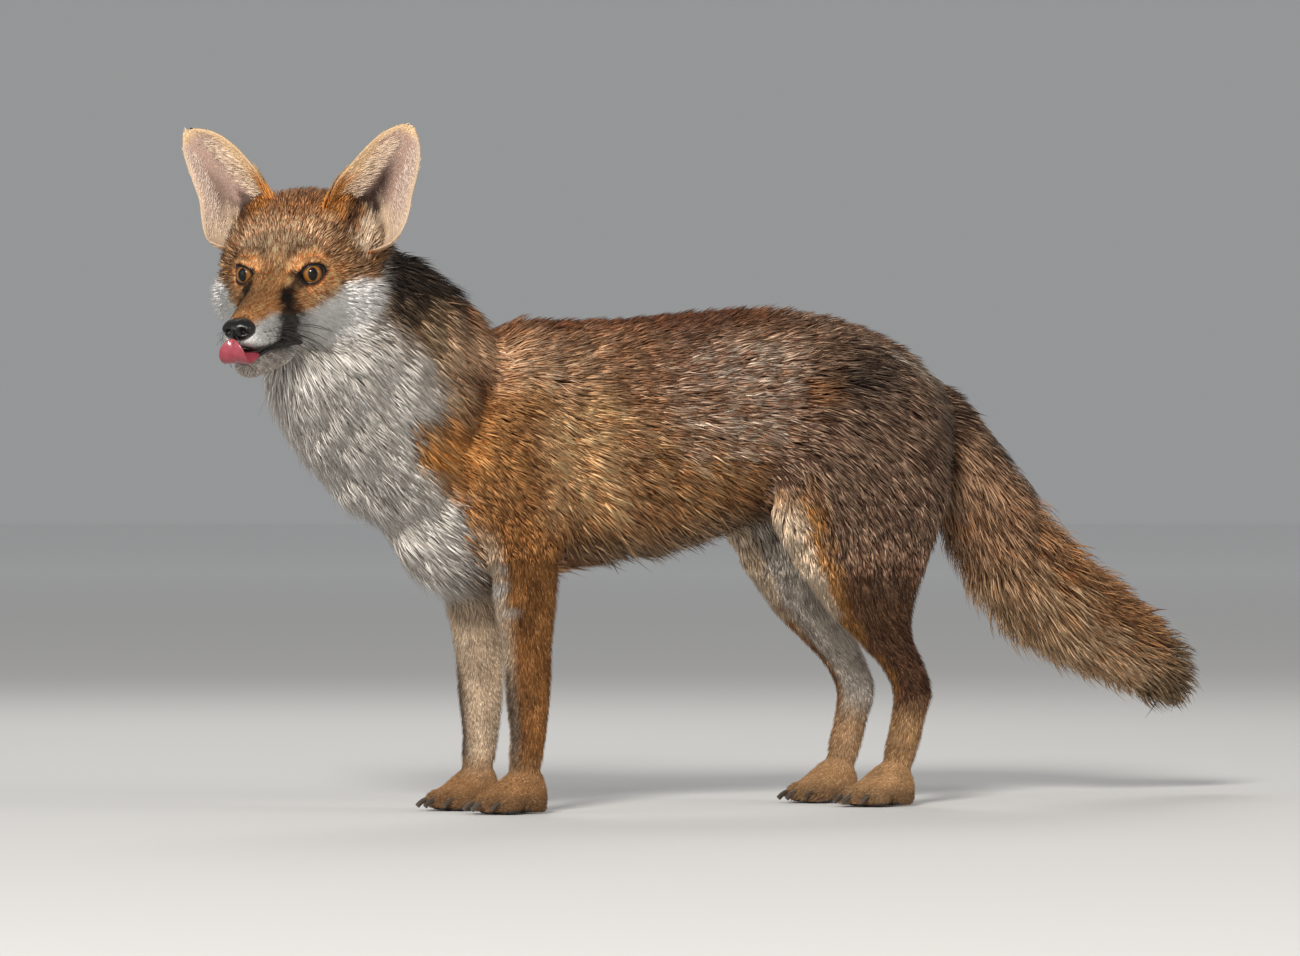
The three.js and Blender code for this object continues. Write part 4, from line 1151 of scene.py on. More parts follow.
def growTufts(name, material, seeds, bends, rng, clump=0.0, spacing=8.0, vary=1.0):
    root, normal, lie, long, rise, wide, colours, patch = seeds
    n = len(root)
    near = root - root.mean(0)
    along = (near * lie).sum(1, keepdims=True)
    streak = drift(near - lie * along * 0.75, tuftSpec["strand"], 4)  # neighbours along the lie share a shade
    across = unit(np.cross(normal, lie))
    lie = unit(lie + across * rng.normal(0, tuftSpec["turn"], n)[:, None])
    long = long * rng.uniform(0.72, 1.18, n)
    rise = rise * rng.uniform(0.55, 1.12, n)
    wide = wide * rng.uniform(0.75, 1.25, n)
    steps, widths = np.array(tuftShapes[bends][0]), tuftShapes[bends][1]
    levels = len(widths)
    flat = long * np.sqrt(np.maximum(1 - (rise / long) ** 2, 0.3))
    sunk = np.minimum(1.2, 0.25 * rise + 0.4)
    path = (root - normal * sunk[:, None])[:, None] + (lie * flat[:, None])[:, None] * steps[:, None]
    path += (normal * (rise + sunk)[:, None])[:, None] * (1 - (1 - steps) ** 1.8)[:, None]
    path += (across * (rng.normal(0, tuftSpec["curl"], n) * long)[:, None])[:, None] * (steps ** 2)[:, None]
    if clump:
        pull = clumpPull(root, path[:, -1], spacing, rng)
        path += (pull * (clump * rng.uniform(0.5, 1.3, n))[:, None])[:, None] * (steps ** 1.6)[:, None]
    path[..., 2] = np.maximum(path[..., 2], 0.7)
    run = unit(np.gradient(path, axis=1) if bends else np.repeat(path[:, 1:] - path[:, :1], 2, axis=1))
    sideways = unit(np.cross(normal[:, None], run))
    lift = np.cross(run, sideways)
    rows = []
    for j in range(levels):
        for u, v in ((-1, 0), (1, 0), (0, tuftSpec["height"])):
            rows.append(path[:, j] + (sideways[:, j] * u + lift[:, j] * v) * (wide * 0.5 * widths[j])[:, None])
    places = np.stack(rows + [path[:, levels]], 1)
    spots = [[i / 2 - 0.5, steps[j] - 0.5] for j in range(levels) for i in range(3)] + [[0.0, 0.5]]
    uv = np.clip(patch, 0.002, 0.998)[:, None] + np.array(spots) * 0.003
    mesh = fastMesh(name, places.reshape(-1, 3), tuftFaces(levels, n), uv.reshape(-1, 2))
    return finishMesh(name, mesh, material, tuftTones(colours, bends, levels, streak, vary, rng))


# eyes and lids
irisStops = [(0.0, (70, 40, 16)), (0.35, (128, 84, 36)), (0.68, (104, 64, 26)), (0.86, (50, 29, 12)),
             (0.94, (10, 7, 5)), (1.0, (6, 5, 4))]


def irisMaterial():  # the map "gaze" has the pupil's middle at its own middle
    sockets = {"Roughness": 0.4, "Specular IOR Level": 0.05}
    coat = {"Coat Weight": 0.6, "Coat Roughness": 0.02, "Coat IOR": 1.36}
    kinds = {
        "uv": ("ShaderNodeUVMap", {"uv_map": "gaze"}),
        "middle": ("ShaderNodeVectorMath", {"operation": "SUBTRACT", 1: (0.5, 0.5, 0)}),
        "split": ("ShaderNodeSeparateXYZ", {}),
        "far": ("ShaderNodeVectorMath", {"operation": "LENGTH"}),
        "oval": ("ShaderNodeVectorMath", {"operation": "MULTIPLY", 1: (1.3, 0.8, 0)}),
        "narrow": ("ShaderNodeVectorMath", {"operation": "LENGTH"}),
        "angle": ("ShaderNodeMath", {"operation": "ARCTAN2"}),
        "rays": ("ShaderNodeTexNoise", {"noise_dimensions": "2D", "Scale": 9.0, "Detail": 4.0}),
        "fan": ("ShaderNodeCombineXYZ", {}),
        "wide": ("ShaderNodeMath", {"operation": "MULTIPLY", 1: 12}),
        "ramp": ("ShaderNodeValToRGB", {"stops": [(place, rgb(*colour)) for place, colour in irisStops]}),
        "scale": ("ShaderNodeMapRange", {"From Min": 0.04, "From Max": 0.135}),
        "shade": ("ShaderNodeMapRange", {"To Min": 0.72, "To Max": 1.3}),
        "fibres": ("ShaderNodeVectorMath", {"operation": "SCALE"}),
        "pupil": ("ShaderNodeMapRange", {"From Min": 0.060, "From Max": 0.068}),
        "dark": ("ShaderNodeMix", {"data_type": "RGBA", 6: (0.004, 0.004, 0.004, 1)}),
    }
    return newMaterial("amber eye", {**sockets, **coat}, kinds, [
        "uv.UV > middle.0", "middle.0 > split.0", "middle.0 > far.0", "middle.0 > oval.0", "oval.0 > narrow.0",
        "split.Y > angle.0", "split.X > angle.1", "angle.0 > fan.X", "far.Value > wide.0", "wide.0 > fan.Y",
        "fan.0 > rays.Vector", "far.Value > scale.Value", "scale.Result > ramp.Fac", "rays.Fac > shade.Value",
        "ramp.Color > fibres.0", "shade.Result > fibres.Scale", "narrow.Value > pupil.Value",
        "pupil.Result > dark.0", "fibres.Vector > dark.7", "dark.2 > shader.Base Color"])


def makeEyes():
    iris = irisMaterial()
    phi = np.linspace(0, np.pi, 50)[1:-1]
    reach = eyeSpec["radius"] + 0.9 * np.exp(-((phi / 0.62) ** 4))  # the clear front stands out
    places, faces = ringSolid([r * ring for ring, r in zip(ballRings(phi, 56), reach)])
    places[-2:] = [[reach[0], 0, 0], [-reach[-1], 0, 0]]
    flat = np.linalg.norm(places[:, 1:], axis=1)
    bend = np.arctan2(flat, places[:, 0]) / (2 * np.pi)
    gaze = 0.5 + places[:, 1:] / np.maximum(flat, 1e-6)[:, None] * bend[:, None]
    for name, side in sides.items():
        turn = eyeTurn(side) @ turning("Z", eyeSpec["gaze"] * (side > 0))
        piece = makeMesh("eyeball_" + name, fromHead(places @ turn.T + eyeAt(side)), faces, iris)
        layer = piece.data.uv_layers.new(name="gaze")
        spots = np.empty(len(piece.data.loops), np.int32)
        piece.data.loops.foreach_get("vertex_index", spots)
        layer.data.foreach_set("uv", gaze[spots].astype(np.float32).ravel())
        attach(piece, "root")
        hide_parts("eye_" + name)


# degrees out from the rim, height over the ball or the skin, and how much of it is over the skin
rimLevels = [(-5, -1.4, 0), (-2.5, 0.1, 0), (0, 0.6, 0), (3, 0.8, 0), (6, 0.8, 0), (9, 0.3, 0), (8, -1.2, 0),
             (2.5, -2.4, 0)]
lidLevels = [(1.5, -0.8, 0), (3, 0.7, 0), (7, 1.5, 0.1), (12, 1.6, 0.4), (18, 1.0, 0.8), (24, 0.4, 1),
             (30, -0.6, 1), (31, -3.0, 1), (20, -3.2, 0.7), (8, -2.6, 0)]
# where the skin is looked for, in mm from the ball's centre
lidRays = {"start": 6, "reach": 14, "low": 11.8, "high": 18}


def skinFar(tree, at, ways):  # how far from a place the skin lies each way
    start, begin = fromHead(at), lidRays["start"]
    out = []
    for w in ways @ headTurn.T:
        place, _, _, length = tree.ray_cast(Vector(start + w * begin), Vector(w), lidRays["reach"])
        out.append(lidRays["high"] if place is None else length + begin)
    return np.clip(out, lidRays["low"], lidRays["high"])


def lidRings(side, levels, tree, slim=0.0, around=72):
    phi = np.linspace(0, 2 * np.pi, around, endpoint=False)
    power = 2 / lidSpec["point"][side]
    c, s = (np.sign(v) * np.abs(v) ** power for v in (np.cos(phi), np.sin(phi)))
    high = np.where(s > 0, lidSpec["top"], lidSpec["bottom"])
    inward = np.clip(c * side, 0, 1) ** 4  # 1 at the corner by the nose
    cosine, sine = lidAxes(side)
    rings = []
    for off, height, onSkin in levels:
        out = off * (1 - slim * np.clip(-s, 0, 1) * (off > 0))
        a = c * np.radians(lidSpec["wide"] + out * (1 + lidSpec["tear"] * inward * (0 < off < 14)))
        b = s * np.radians(high + out)
        across, up = a * cosine - b * sine, b * cosine + a * sine
        way = np.stack([np.cos(up) * np.cos(across), np.cos(up) * np.sin(across), np.sin(up)], -1)
        way = way @ eyeTurn(side).T
        base = np.full(around, eyeSpec["radius"])
        if onSkin:
            base = base * (1 - onSkin) + skinFar(tree, eyeAt(side), way) * onSkin
        rings.append(eyeAt(side) + way * (base + height)[:, None])
    return rings


def torusSolid(rings):
    places = np.vstack(rings)
    around = len(rings[0])
    last = len(places) - around
    faces = gridFaces(len(rings), around)
    faces += [(last + i, last + (i + 1) % around, (i + 1) % around, i) for i in range(around)]
    return places, outwardFaces(places, faces)


def makeLids(tree, black, fur):
    surfaces = []
    for name, side in sides.items():
        places, faces = torusSolid(lidRings(side, rimLevels, tree, 0.45))
        rim = makeMesh("lid_rim_" + name, fromHead(places), faces, black)
        places, faces = torusSolid(lidRings(side, lidLevels, tree))
        p = fromHead(places)
        lid = makeMesh("lids_" + name, p, faces, fur)
        marks = bodyMarks(fieldsAt(p, vertexNormals(lid.data)), p)
        # the lids take the coat's markings darkened and greyed to about 0.4: painted shade among the short hair
        # round the eye
        paintMesh(lid.data, marks[:, 0] * [0.4, 0.37, 0.36])
        surfaces.append(lid.data)
        for piece in (rim, lid):
            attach(piece, "root")
    return surfaces


def vertexNormals(mesh):
    n = np.empty(len(mesh.vertices) * 3, np.float32)
    mesh.vertices.foreach_get("normal", n)
    return n.reshape(-1, 3).astype(float)


# nose, tongue, lips and whiskers
def noseShape(u):  # nostrils with their slits and wings, the groove and the flat top, on a unit ball
    x, y, z = u.T
    out = u.copy()
    for side in (-1, 1):
        hole = haze((y, z), (side * 0.42, -0.12), (0.17, 0.26)) * (x > 0)
        slit = haze((y, z), (side * 0.74, -0.3), (0.22, 0.1)) * (x > -0.2)
        out[:, 0] -= 0.5 * hole + 0.22 * slit
        out[:, 1] += side * 0.09 * haze((y, z), (side * 0.72, 0.1), (0.2, 0.3))
    out[:, 0] -= 0.14 * haze((y,), (0,), (0.07,)) * smooth(z, 0.15, -0.15) * (x > 0)
    out[:, 2] -= 0.12 * haze((x, y), (0.2, 0), (0.5, 0.25)) * (z > 0)
    return out


def makeNose(leather):
    half = np.array(noseSpec["half"]) + [0.6, 0.3, 0.4]
    places, faces = ballSolid(noseSpec["at"], half, 60, 84, noseShape)
    piece = makeMesh("nose_pad", fromHead(places), faces, leather)
    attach(piece, "root")
    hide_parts("nose")


tongueSpec = {"thick": 4.4, "groove": 0.72, "cup": 1.5, "squareness": 2.4}


def makeTongue(flesh):
    centres = [[x, 0, z] for x, z, _ in tongueRows]
    form = makeForm(centres, [[wide, wide, wide, 2, 2] for _, _, wide in tongueRows], axisY)
    angle = np.linspace(0, 2 * np.pi, 48, endpoint=False)
    c, s, n = np.cos(angle), np.sin(angle), tongueSpec["squareness"]
    k = (np.abs(c) ** n + np.abs(s) ** n) ** (-1 / n)
    rings = []
    for t in np.linspace(0, 1, 60):
        at = {key: value[0] for key, value in readForm(form, np.array([t])).items()}
        narrow = np.interp(at["centre"][0], [48, 72], [0.72, 1.0]) if t < 0.5 else 1.0
        wide = narrow * at["section"][0] * np.sqrt(max(0.04, 1 - max(0, (t - 0.86) / 0.15) ** 2.2))
        thick = tongueSpec["thick"] / 2 * (1 - 0.35 * smooth(t, 0.8, 1.0))
        y, z = wide * c * k, thick * s * k
        z = z - haze((y,), (0,), (1.6,)) * tongueSpec["groove"] * (s > 0) + (y / wide) ** 2 * tongueSpec["cup"]
        rings.append(at["centre"] + at["side"] * y[:, None] + at["lift"] * z[:, None])
    places, faces = ringSolid(rings)
    piece = makeMesh("tongue_wet", fromHead(places), faces, flesh)
    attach(piece, "root")
    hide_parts("tongue")


# ahead, out, up, radius
upperLip = [
    (13, 23.2, -51.4, 0.8), (18, 21.6, -50, 1.5), (25, 19.5, -49, 2.0), (42, 17, -48.2, 1.9),
    (58, 14, -47.6, 1.7), (70, 8, -47.5, 1.5), (75, 0, -47.5, 1.3),
]
lowerLip = [
    (13, 22.4, -52.4, 0.8), (18, 20, -51.4, 1.6), (25, 17.6, -50.6, 2.0), (42, 15.4, -50.4, 2.0),
    (56, 12.6, -50.8, 1.9), (66, 8, -54.5, 1.5), (72, 0, -57, 1.3),
]
mouthSpec = {"at": (40, 0, -51), "half": (31, 12.5, 4.6)}


def makeMouth(black, gum):
    lines = [rows + [(x, -y, z, r) for x, y, z, r in rows[-2::-1]] for rows in (upperLip, lowerLip)]
    places, faces = joinParts([tubeSolid(line) for line in lines])
    lips = makeMesh("lips", fromHead(places), faces, black)
    places, faces = ballSolid(mouthSpec["at"], mouthSpec["half"], 24, 36)
    inside = makeMesh("mouth_lining", fromHead(places), faces, gum)
    for piece in (lips, inside):
        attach(piece, "root")


# ears: a thin cup of skin, closed round its rim
def earMiddle(u, t, side):  # u runs across from -1 to 1, and t from the root to the tip
    rows = np.array(earRows, float)
    along = runLength(rows[:, :1])
    height, radius, wrap = throughRows(along, rows, np.clip(t, 0, 1) * along[-1]).T
    a = u * np.radians(np.maximum(wrap, 1.5)) * (1 - 0.42 * smooth(t, 0.42, 0.0) * (u * side > 0))
    bow = side * earSpec["left" if side < 0 else "right"][2] * np.sin(np.pi * t * t)
    back = earSpec["deep"] * (1 - t)
    return np.stack([radius * (1 - np.cos(a)) - back, radius * np.sin(a) + bow, height], -1)


def earFlow(u, t, side, step=0.01):  # the cup's own directions: across, up and towards the opening
    du = earMiddle(np.minimum(u + step, 1), t, side) - earMiddle(np.maximum(u - step, -1), t, side)
    dt = earMiddle(u, np.minimum(t + step, 1), side) - earMiddle(u, np.maximum(t - step, 0), side)
    return unit(du), unit(dt), unit(np.cross(du, dt))


def earToFox(p, side):
    return fromHead(p @ earTurn(side).T + earAt(side))


def earWay(v, side):
    return v @ earTurn(side).T @ headTurn.T


def earPoint(u, t, side, face):
    _, _, inner = earFlow(u, t, side)
    edge = np.minimum(1, np.minimum((1 - np.abs(u)) * 6, (1 - t) * 14) + 0.12)
    ripple = 0.5 * np.sin(u * 9 + 1) * bump(t, 0.35, 0.35) * (np.abs(u) < 0.9)
    return earMiddle(u, t, side) + inner * (face * earSpec["wall"] * np.sqrt(edge) + ripple)[:, None]


def earMarks(u, t, face, side):  # face is 1 inside the cup and -1 behind it
    out = -side * u  # 1 at the outer edge, -1 at the edge over the crown
    grain = 0.12 * np.sin(u * 23 + t * 11) * np.sin(t * 31 + 2)
    if face < 0:
        return lay(
            plain("earBack", len(u)),
            ("earBase", smooth(t + grain, 0.42, 0.18)),
            ("earRim", smooth(np.abs(u) + grain, 0.72, 0.92) * smooth(t, 0.22, 0.5) * 0.8),
            ("cream", smooth(out, 0.72, 0.9) * smooth(t, 0.04, 0.14) * 0.75),
        )
    # where the canal's painted shade runs across each ear, and how dark it is
    middle, depth = (0.08, 0.95) if side < 0 else (0.42, 0.5)
    band = 0.3 + 0.35 * smooth(t, 0.35, 0.9)
    # how deep in the cup a point lies, for the painted shade there
    hollowShade = 1 - smooth(np.hypot((out + 0.02) * 1.3, (t - 0.2) * 2.5) + grain, 0.2, 0.72)
    return lay(
        plain("earInside", len(u)),
        # the canal tone here is painted shade: the dark down the ear's canal and deep in its hollow
        ("canalShade", haze((out,), (middle,), (0.24,)) * smooth(t, 0.82, 0.5) * depth),
        ("canalShade", hollowShade * 0.95),
        ("earHair", smooth(out, 0.5, 0.8) * 0.6),
        ("earRim", np.maximum(smooth(-out + grain, band, band + 0.22) * 0.9, smooth(t, 0.9, 0.97))),
        ("cream", smooth(out + grain, 0.1, 0.4) * smooth(t, 0.46, 0.26) * 0.9),
        ("cream", smooth(out, 0.8, 0.95) * smooth(t, 0.97, 0.88) * 0.8),
        ("earBase", np.maximum(smooth(t, 0.12, 0.03), smooth(t, 0.55, 0.25) * smooth(-out + grain, 0.35, 0.7))),
    )


def makeEar(name, side, fur):
    across, along = 44, 52
    u, t = [g.ravel() for g in np.meshgrid(np.linspace(-1, 1, across + 1), np.linspace(0, 1, along + 1))]
    p = np.vstack([earToFox(earPoint(u, t, side, face), side) for face in (1, -1)])
    # the cup takes its markings darkened to 0.8: painted shade between the hairs
    tones = np.vstack([earMarks(u, t, face, side)[:, 0] * 0.8 for face in (1, -1)])
    wide = across + 1
    one = wide * (along + 1)
    faces = []
    for j in range(along):
        for i in range(across):
            a = j * wide + i
            inner = (a, a + 1, a + 1 + wide, a + wide)
            faces += [inner, tuple(k + one for k in (a, a + wide, a + 1 + wide, a + 1))]
    edge = [*range(wide), *range(wide + across, one, wide), *range(one - 2, one - wide - 1, -1),
            *range(one - 2 * wide, 0, -wide)]
    faces += [(b, a, a + one, b + one) for a, b in zip(edge, edge[1:] + edge[:1])]
    ear = makeMesh("ear_cup_" + name, p, outwardFaces(p, faces), fur, tones)
    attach(ear, "root")
    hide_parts("ear_" + name)


# tufts on each ear, and the width of one
earCoat = {"back": (1300, 0.85), "inside": (1900, 0.6), "fringe": (1200, 0.85), "edge": (650, 0.8)}


def earTufts(rng):
    rows = []
    for cell, side in enumerate(sides.values()):
        for face, kind in ((-1, "back"), (1, "inside"), (1, "fringe"), (1, "edge"), (-1, "edge")):
            count, wide = earCoat[kind]
            u, t = rng.uniform(-1, 1, count), rng.uniform(0.0, 1, count) ** 0.9
            if kind == "fringe":
                crown = rng.random(count) < 0.62
                u = side * np.where(crown, rng.uniform(0.28, 0.72, count), -rng.uniform(0.55, 0.97, count))
                t = rng.uniform(0.06, 0.84, count)
            if kind == "edge":  # long hair where the front edge meets the crown
                u, t = side * rng.uniform(0.6, 1.0, count), 0.5 * rng.random(count) ** 1.5
            across, up, inner = earFlow(u, t, side)
            crown, high = u * side > 0, 1 - t
            lean, long, rise = {
                "back": (0.05, 5.5 - 2 * t, 0.5),
                "inside": (0.3, 7.0 - 2 * t, 0.45),
                "edge": (0.35 if face > 0 else 0, 15 - 12 * t, 2.6 - 2 * t),
                "fringe": (np.where(crown, 0.9, 0.55)[:, None],
                           np.where(crown, 9 + 9 * high, 5 + 5 * high + 8 * smooth(t, 0.3, 0.08)),
                           np.where(crown, 1.0 + 2.4 * high, 0.9 + 0.8 * high)),
            }[kind]
            lie = up * (0.8 if kind == "fringe" else 1) + across * -np.sign(u)[:, None] * lean
            coat = earMarks(u, t, face, side)
            if kind == "fringe":
                hair = mix(plain("earHair", count), plain("cream", count), (crown * 0.8)[:, None])
                coat = mix(coat, hair, np.where(crown, 0.75 * smooth(t, 0.04, 0.14), 0.6)[:, None])
            patch = np.stack([(cell + (u * 0.5 + 0.5)) / 2, (t + (face > 0)) / 2], -1)
            root = earToFox(earPoint(u, t, side, face), side)
            rise, wide = np.broadcast_to(rise, count), np.full(count, wide)
            ways = earWay(inner * face, side), earWay(unit(lie), side)
            rows.append((root, *ways, long, rise, wide, coat, patch))
    return [np.concatenate(columns) for columns in zip(*rows)]


# the coat's pieces: tufts, bends, width, clumping, spacing of the clumps, spread of the shades, slot
coatRows = {
    "coat_face": (43000, 0, 0.96, 0.0, 8, 1.0, "head"),
    "coat_head": (19000, 1, 0.98, 0.35, 9, 1.0, "head"),
    "coat_neck": (18000, 1, 1.2, 0.55, 12, 1.0, "neck"),
    "coat_shoulders": (18500, 1, 1.35, 0.55, 10, 1.0, "torso"),
    "coat_flanks": (18500, 1, 1.4, 0.6, 10, 1.0, "torso"),
    "coat_rump": (18500, 1, 1.35, 0.55, 10, 1.0, "torso"),
    "coat_legs": (40000, 0, 1.0, 0.2, 9, 1.0, "foreleg_left"),
    "coat_tail": (10500, 2, 1.6, 0.35, 12, 0.5, "tail"),
}


def coatPiece(f, p):  # which piece a point's tuft is in
    h, z, top = f["h"], p[:, 2], f["weights"].argmax(1)
    name = np.full(len(p), "coat_shoulders", dtype="<U16")
    name[p[:, 0] > -62] = "coat_flanks"
    name[p[:, 0] > 96] = "coat_rump"
    name[top == 1] = "coat_neck"
    name[((top == 3) & (z < 205)) | ((top == 4) & (z < 190)) | (top == 5)] = "coat_legs"
    name[top == 6] = "coat_tail"
    name[top == 0] = "coat_head"
    name[(top == 0) & (h[:, 0] > -14) & (h[:, 2] > -62)] = "coat_face"
    return name


def chartOf(f, p):  # each tuft's place on its own form, along and around it, in the unit square
    at, skull, paws, top = f["at"], f["skull"], f["paws"], f["weights"].argmax(1)
    fore = p[:, 0] < 30
    head = {"t": skull["t"] * 0.999, "angle": skull["angle"]}
    foot = {key: np.where(fore, paws[0][key], paws[1][key]) for key in ("t", "angle")}
    foot["t"] = 0.86 + 0.14 * foot["t"]
    uv = np.zeros((len(p), 2))
    for i, chart in enumerate((head, at["neck"], at["torso"], at["fore"], at["hind"], foot, at["tail"])):
        mine = top == i
        uv[mine] = np.stack([chart["t"], (chart["angle"] / (2 * np.pi)) % 1], -1)[mine]
    legs = (top >= 3) & (top <= 5)
    cell = (p[:, 0] > 30) * 2 + (p[:, 1] > 0)
    uv[legs, 1] = (uv[legs, 1] + cell[legs]) / 4
    return uv


def meshTriangles(mesh):
    mesh.calc_loop_triangles()
    tri = np.empty(len(mesh.loop_triangles) * 3, np.int32)
    mesh.loop_triangles.foreach_get("vertices", tri)
    return tri.reshape(-1, 3)


def sow(p, normal, tri, weight, count, rng):  # seeded roots over triangles
    a, b, c = p[tri[:, 0]], p[tri[:, 1]], p[tri[:, 2]]
    area = np.linalg.norm(np.cross(b - a, c - a), axis=1) * weight
    run = np.cumsum(area)
    pick = np.searchsorted(run, (np.arange(count) + rng.random(count)) / count * run[-1])
    pick = np.minimum(pick, len(tri) - 1)
    u, v = rng.random((2, count))
    over = u + v > 1
    u, v = np.where(over, 1 - u, u), np.where(over, 1 - v, v)
    share = np.stack([1 - u - v, u, v], -1)[..., None]
    spots = (p[tri[pick]] * share).sum(1)
    return spots, unit((normal[tri[pick]] * share).sum(1))


def bareSkin(f, p, onLid):  # no coat on the eyes, the rims, the nose, the lips and the soles
    h = f["h"]
    x, y, z = h.T
    bare = (roundGap(h, noseSpec) < -0.4) | (p[:, 2] < 1.5)
    bare |= (z < -47) & (z > -54) & (x > 16) & (np.abs(y) < np.interp(x, [8, 42, 75], [20, 13.5, 6]))
    for side in sides.values():
        off, far = offRim(h, side)
        bare |= (far < np.where(onLid, 24, 13)) & (off < np.where(onLid, 3, 11)) & (x > -40)
        bare |= onLid & (far < 10.6)
    return bare


def tuftDensity(f, p):  # denser on the feet, over the face and on the side that is seen
    head, feet = f["weights"][:, 0] > 0.5, f["weights"][:, 5] > 0.5
    face = np.interp(f["h"][:, 0], [-60, 0, 30, 60], [1.0, 1.2, 1.7, 2.0])
    return (1 + 1.1 * feet) * np.where(head, face, 1) * np.where(p[:, 1] < 0, 1.12, 0.9)


def makeCoat(skinMesh, p, lidMeshes, fur):
    rng = np.random.default_rng(41)
    meshes, places = [skinMesh, *lidMeshes], [p, *(readMesh(mesh)[0] for mesh in lidMeshes)]
    starts = np.cumsum([0] + [len(q) for q in places[:-1]])
    points, normals = np.concatenate(places), np.concatenate([vertexNormals(mesh) for mesh in meshes])
    tris = np.concatenate([meshTriangles(mesh) + start for mesh, start in zip(meshes, starts)])
    f = fieldsAt(points, normals)
    keep = ~bareSkin(f, points, np.arange(len(points)) >= len(p))[tris].any(1)
    label, density = coatPiece(f, points)[tris[:, 0]], tuftDensity(f, points)
    stage("coat sown")
    scale = 1.0
    for name, (tufts, bends, width, clump, spacing, vary, slot) in coatRows.items():
        chosen = tris[keep & (label == name)]
        root, normal = sow(points, normals, chosen, density[chosen].mean(1), int(tufts * scale), rng)
        g = fieldsAt(root, normal)
        long, rise = coatSize(g, root)
        shown = root + g["lie"] * (0.55 * long)[:, None]  # where most of the tuft is seen
        colours = bodyMarks(fieldsAt(shown, normal), shown)
        wide = width * (0.75 + 0.25 * np.clip(long / 8, 0.4, 1.2)) / math.sqrt(scale)
        seeds = (root, normal, g["lie"], long, rise, wide, colours, chartOf(g, root))
        coat = growTufts(name, fur, seeds, bends, rng, clump, spacing, vary)
        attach(coat, "root")
        stage(f"{name}: {len(coat.data.polygons)} triangles")
    ears = growTufts("coat_ears", fur, earTufts(rng), 1, rng, vary=0.3)
    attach(ears, "root")


# whiskers and claws: one bent, tapering strand set on points by a node tree
strandInputs = {
    "Bend": ("NodeSocketFloat", 0.3), "Root Width": ("NodeSocketFloat", 0.1),
    "Flatness": ("NodeSocketFloat", 1.0), "Steps": ("NodeSocketInt", 10), "Sides": ("NodeSocketInt", 6),
}


def strandTree():
    tree = bpy.data.node_groups.new("strands", "GeometryNodeTree")
    face = tree.interface
    face.new_socket("Geometry", in_out="INPUT", socket_type="NodeSocketGeometry")
    for name, (kind, value) in strandInputs.items():
        face.new_socket(name, in_out="INPUT", socket_type=kind).default_value = value
    face.new_socket("Material", in_out="INPUT", socket_type="NodeSocketMaterial")
    face.new_socket("Geometry", in_out="OUTPUT", socket_type="NodeSocketGeometry")
    reader = "GeometryNodeInputNamedAttribute"
    nodes = makeNodes(tree, {
        "given": ("NodeGroupInput", {}),
        "out": ("NodeGroupOutput", {}),
        "spine": ("GeometryNodeCurveQuadraticBezier", {"Start": (0, 0, 0), "Middle": (0, 0, 0.55)}),
        "tip": ("ShaderNodeCombineXYZ", {"Z": 1}),
        "along": ("GeometryNodeSplineParameter", {}),
        "taper": ("ShaderNodeMapRange", {"To Min": 1.0, "To Max": 0.06}),
        "ring": ("GeometryNodeCurvePrimitiveCircle", {}),
        "tube": ("GeometryNodeCurveToMesh", {"Fill Caps": True}),
        "radius": ("GeometryNodeSetCurveRadius", {}),
        "squash": ("GeometryNodeTransform", {}),
        "shape": ("ShaderNodeCombineXYZ", {"X": 1, "Z": 1}),
        "aim": (reader, {"data_type": "FLOAT_VECTOR", "Name": "aim"}),
        "bend": (reader, {"data_type": "FLOAT_VECTOR", "Name": "bendTo"}),
        "long": (reader, {"data_type": "FLOAT", "Name": "long"}),
        "axes": ("FunctionNodeAxesToRotation", {"primary_axis": "Z", "secondary_axis": "X"}),
        "place": ("GeometryNodeInstanceOnPoints", {}),
        "soft": ("GeometryNodeSetShadeSmooth", {}),
        "real": ("GeometryNodeRealizeInstances", {}),
        "dress": ("GeometryNodeSetMaterial", {}),
    })
    wire(tree, nodes, [
        "given.Bend > tip.X", "tip.0 > spine.End", "given.Steps > spine.Resolution",
        "along.Factor > taper.Value", "spine.0 > radius.Curve", "taper.Result > radius.Radius",
        "given.Sides > ring.Resolution",
        "given.Root Width > ring.Radius", "radius.0 > tube.Curve", "ring.0 > tube.Profile Curve",
        "given.Flatness > shape.Y", "tube.0 > squash.Geometry", "shape.0 > squash.Scale",
        "aim.Attribute > axes.Primary Axis", "bend.Attribute > axes.Secondary Axis",
        "given.Geometry > place.Points", "squash.0 > place.Instance", "axes.0 > place.Rotation",
        "long.Attribute > place.Scale", "place.0 > soft.0", "soft.0 > real.0", "real.0 > dress.Geometry",
        "given.Material > dress.Material", "dress.0 > out.0"])
    return tree


def growStrands(name, tree, rows, sizes, material):  # rows: place, aim, bend, length, all in fox mm
    places, aims, bends, lengths = zip(*rows)
    mesh = bpy.data.meshes.new(name)
    mesh.from_pydata(world(np.array(places)).tolist(), [], [])
    for key, ways in (("aim", aims), ("bendTo", bends)):
        layer = mesh.attributes.new(key, "FLOAT_VECTOR", "POINT")
        layer.data.foreach_set("vector", np.array(ways, np.float32).ravel())
    layer = mesh.attributes.new("long", "FLOAT", "POINT")
    layer.data.foreach_set("value", (np.array(lengths) * mm).astype(np.float32))
    piece = addPiece(name, mesh)
    nodes = piece.modifiers.new("strands", "NODES")
    nodes.node_group = tree
    given = {**sizes, "Material": material}
    for item in tree.interface.items_tree:
        if item.item_type == "SOCKET" and item.in_out == "INPUT" and item.name in given:
            nodes[item.identifier] = given[item.name]
    bpy.context.view_layer.update()
    made = bpy.data.meshes.new_from_object(piece.evaluated_get(bpy.context.evaluated_depsgraph_get()))
    piece.modifiers.remove(nodes)
    piece.data = made
    if not made.materials:
        made.materials.append(material)
    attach(piece, "root")


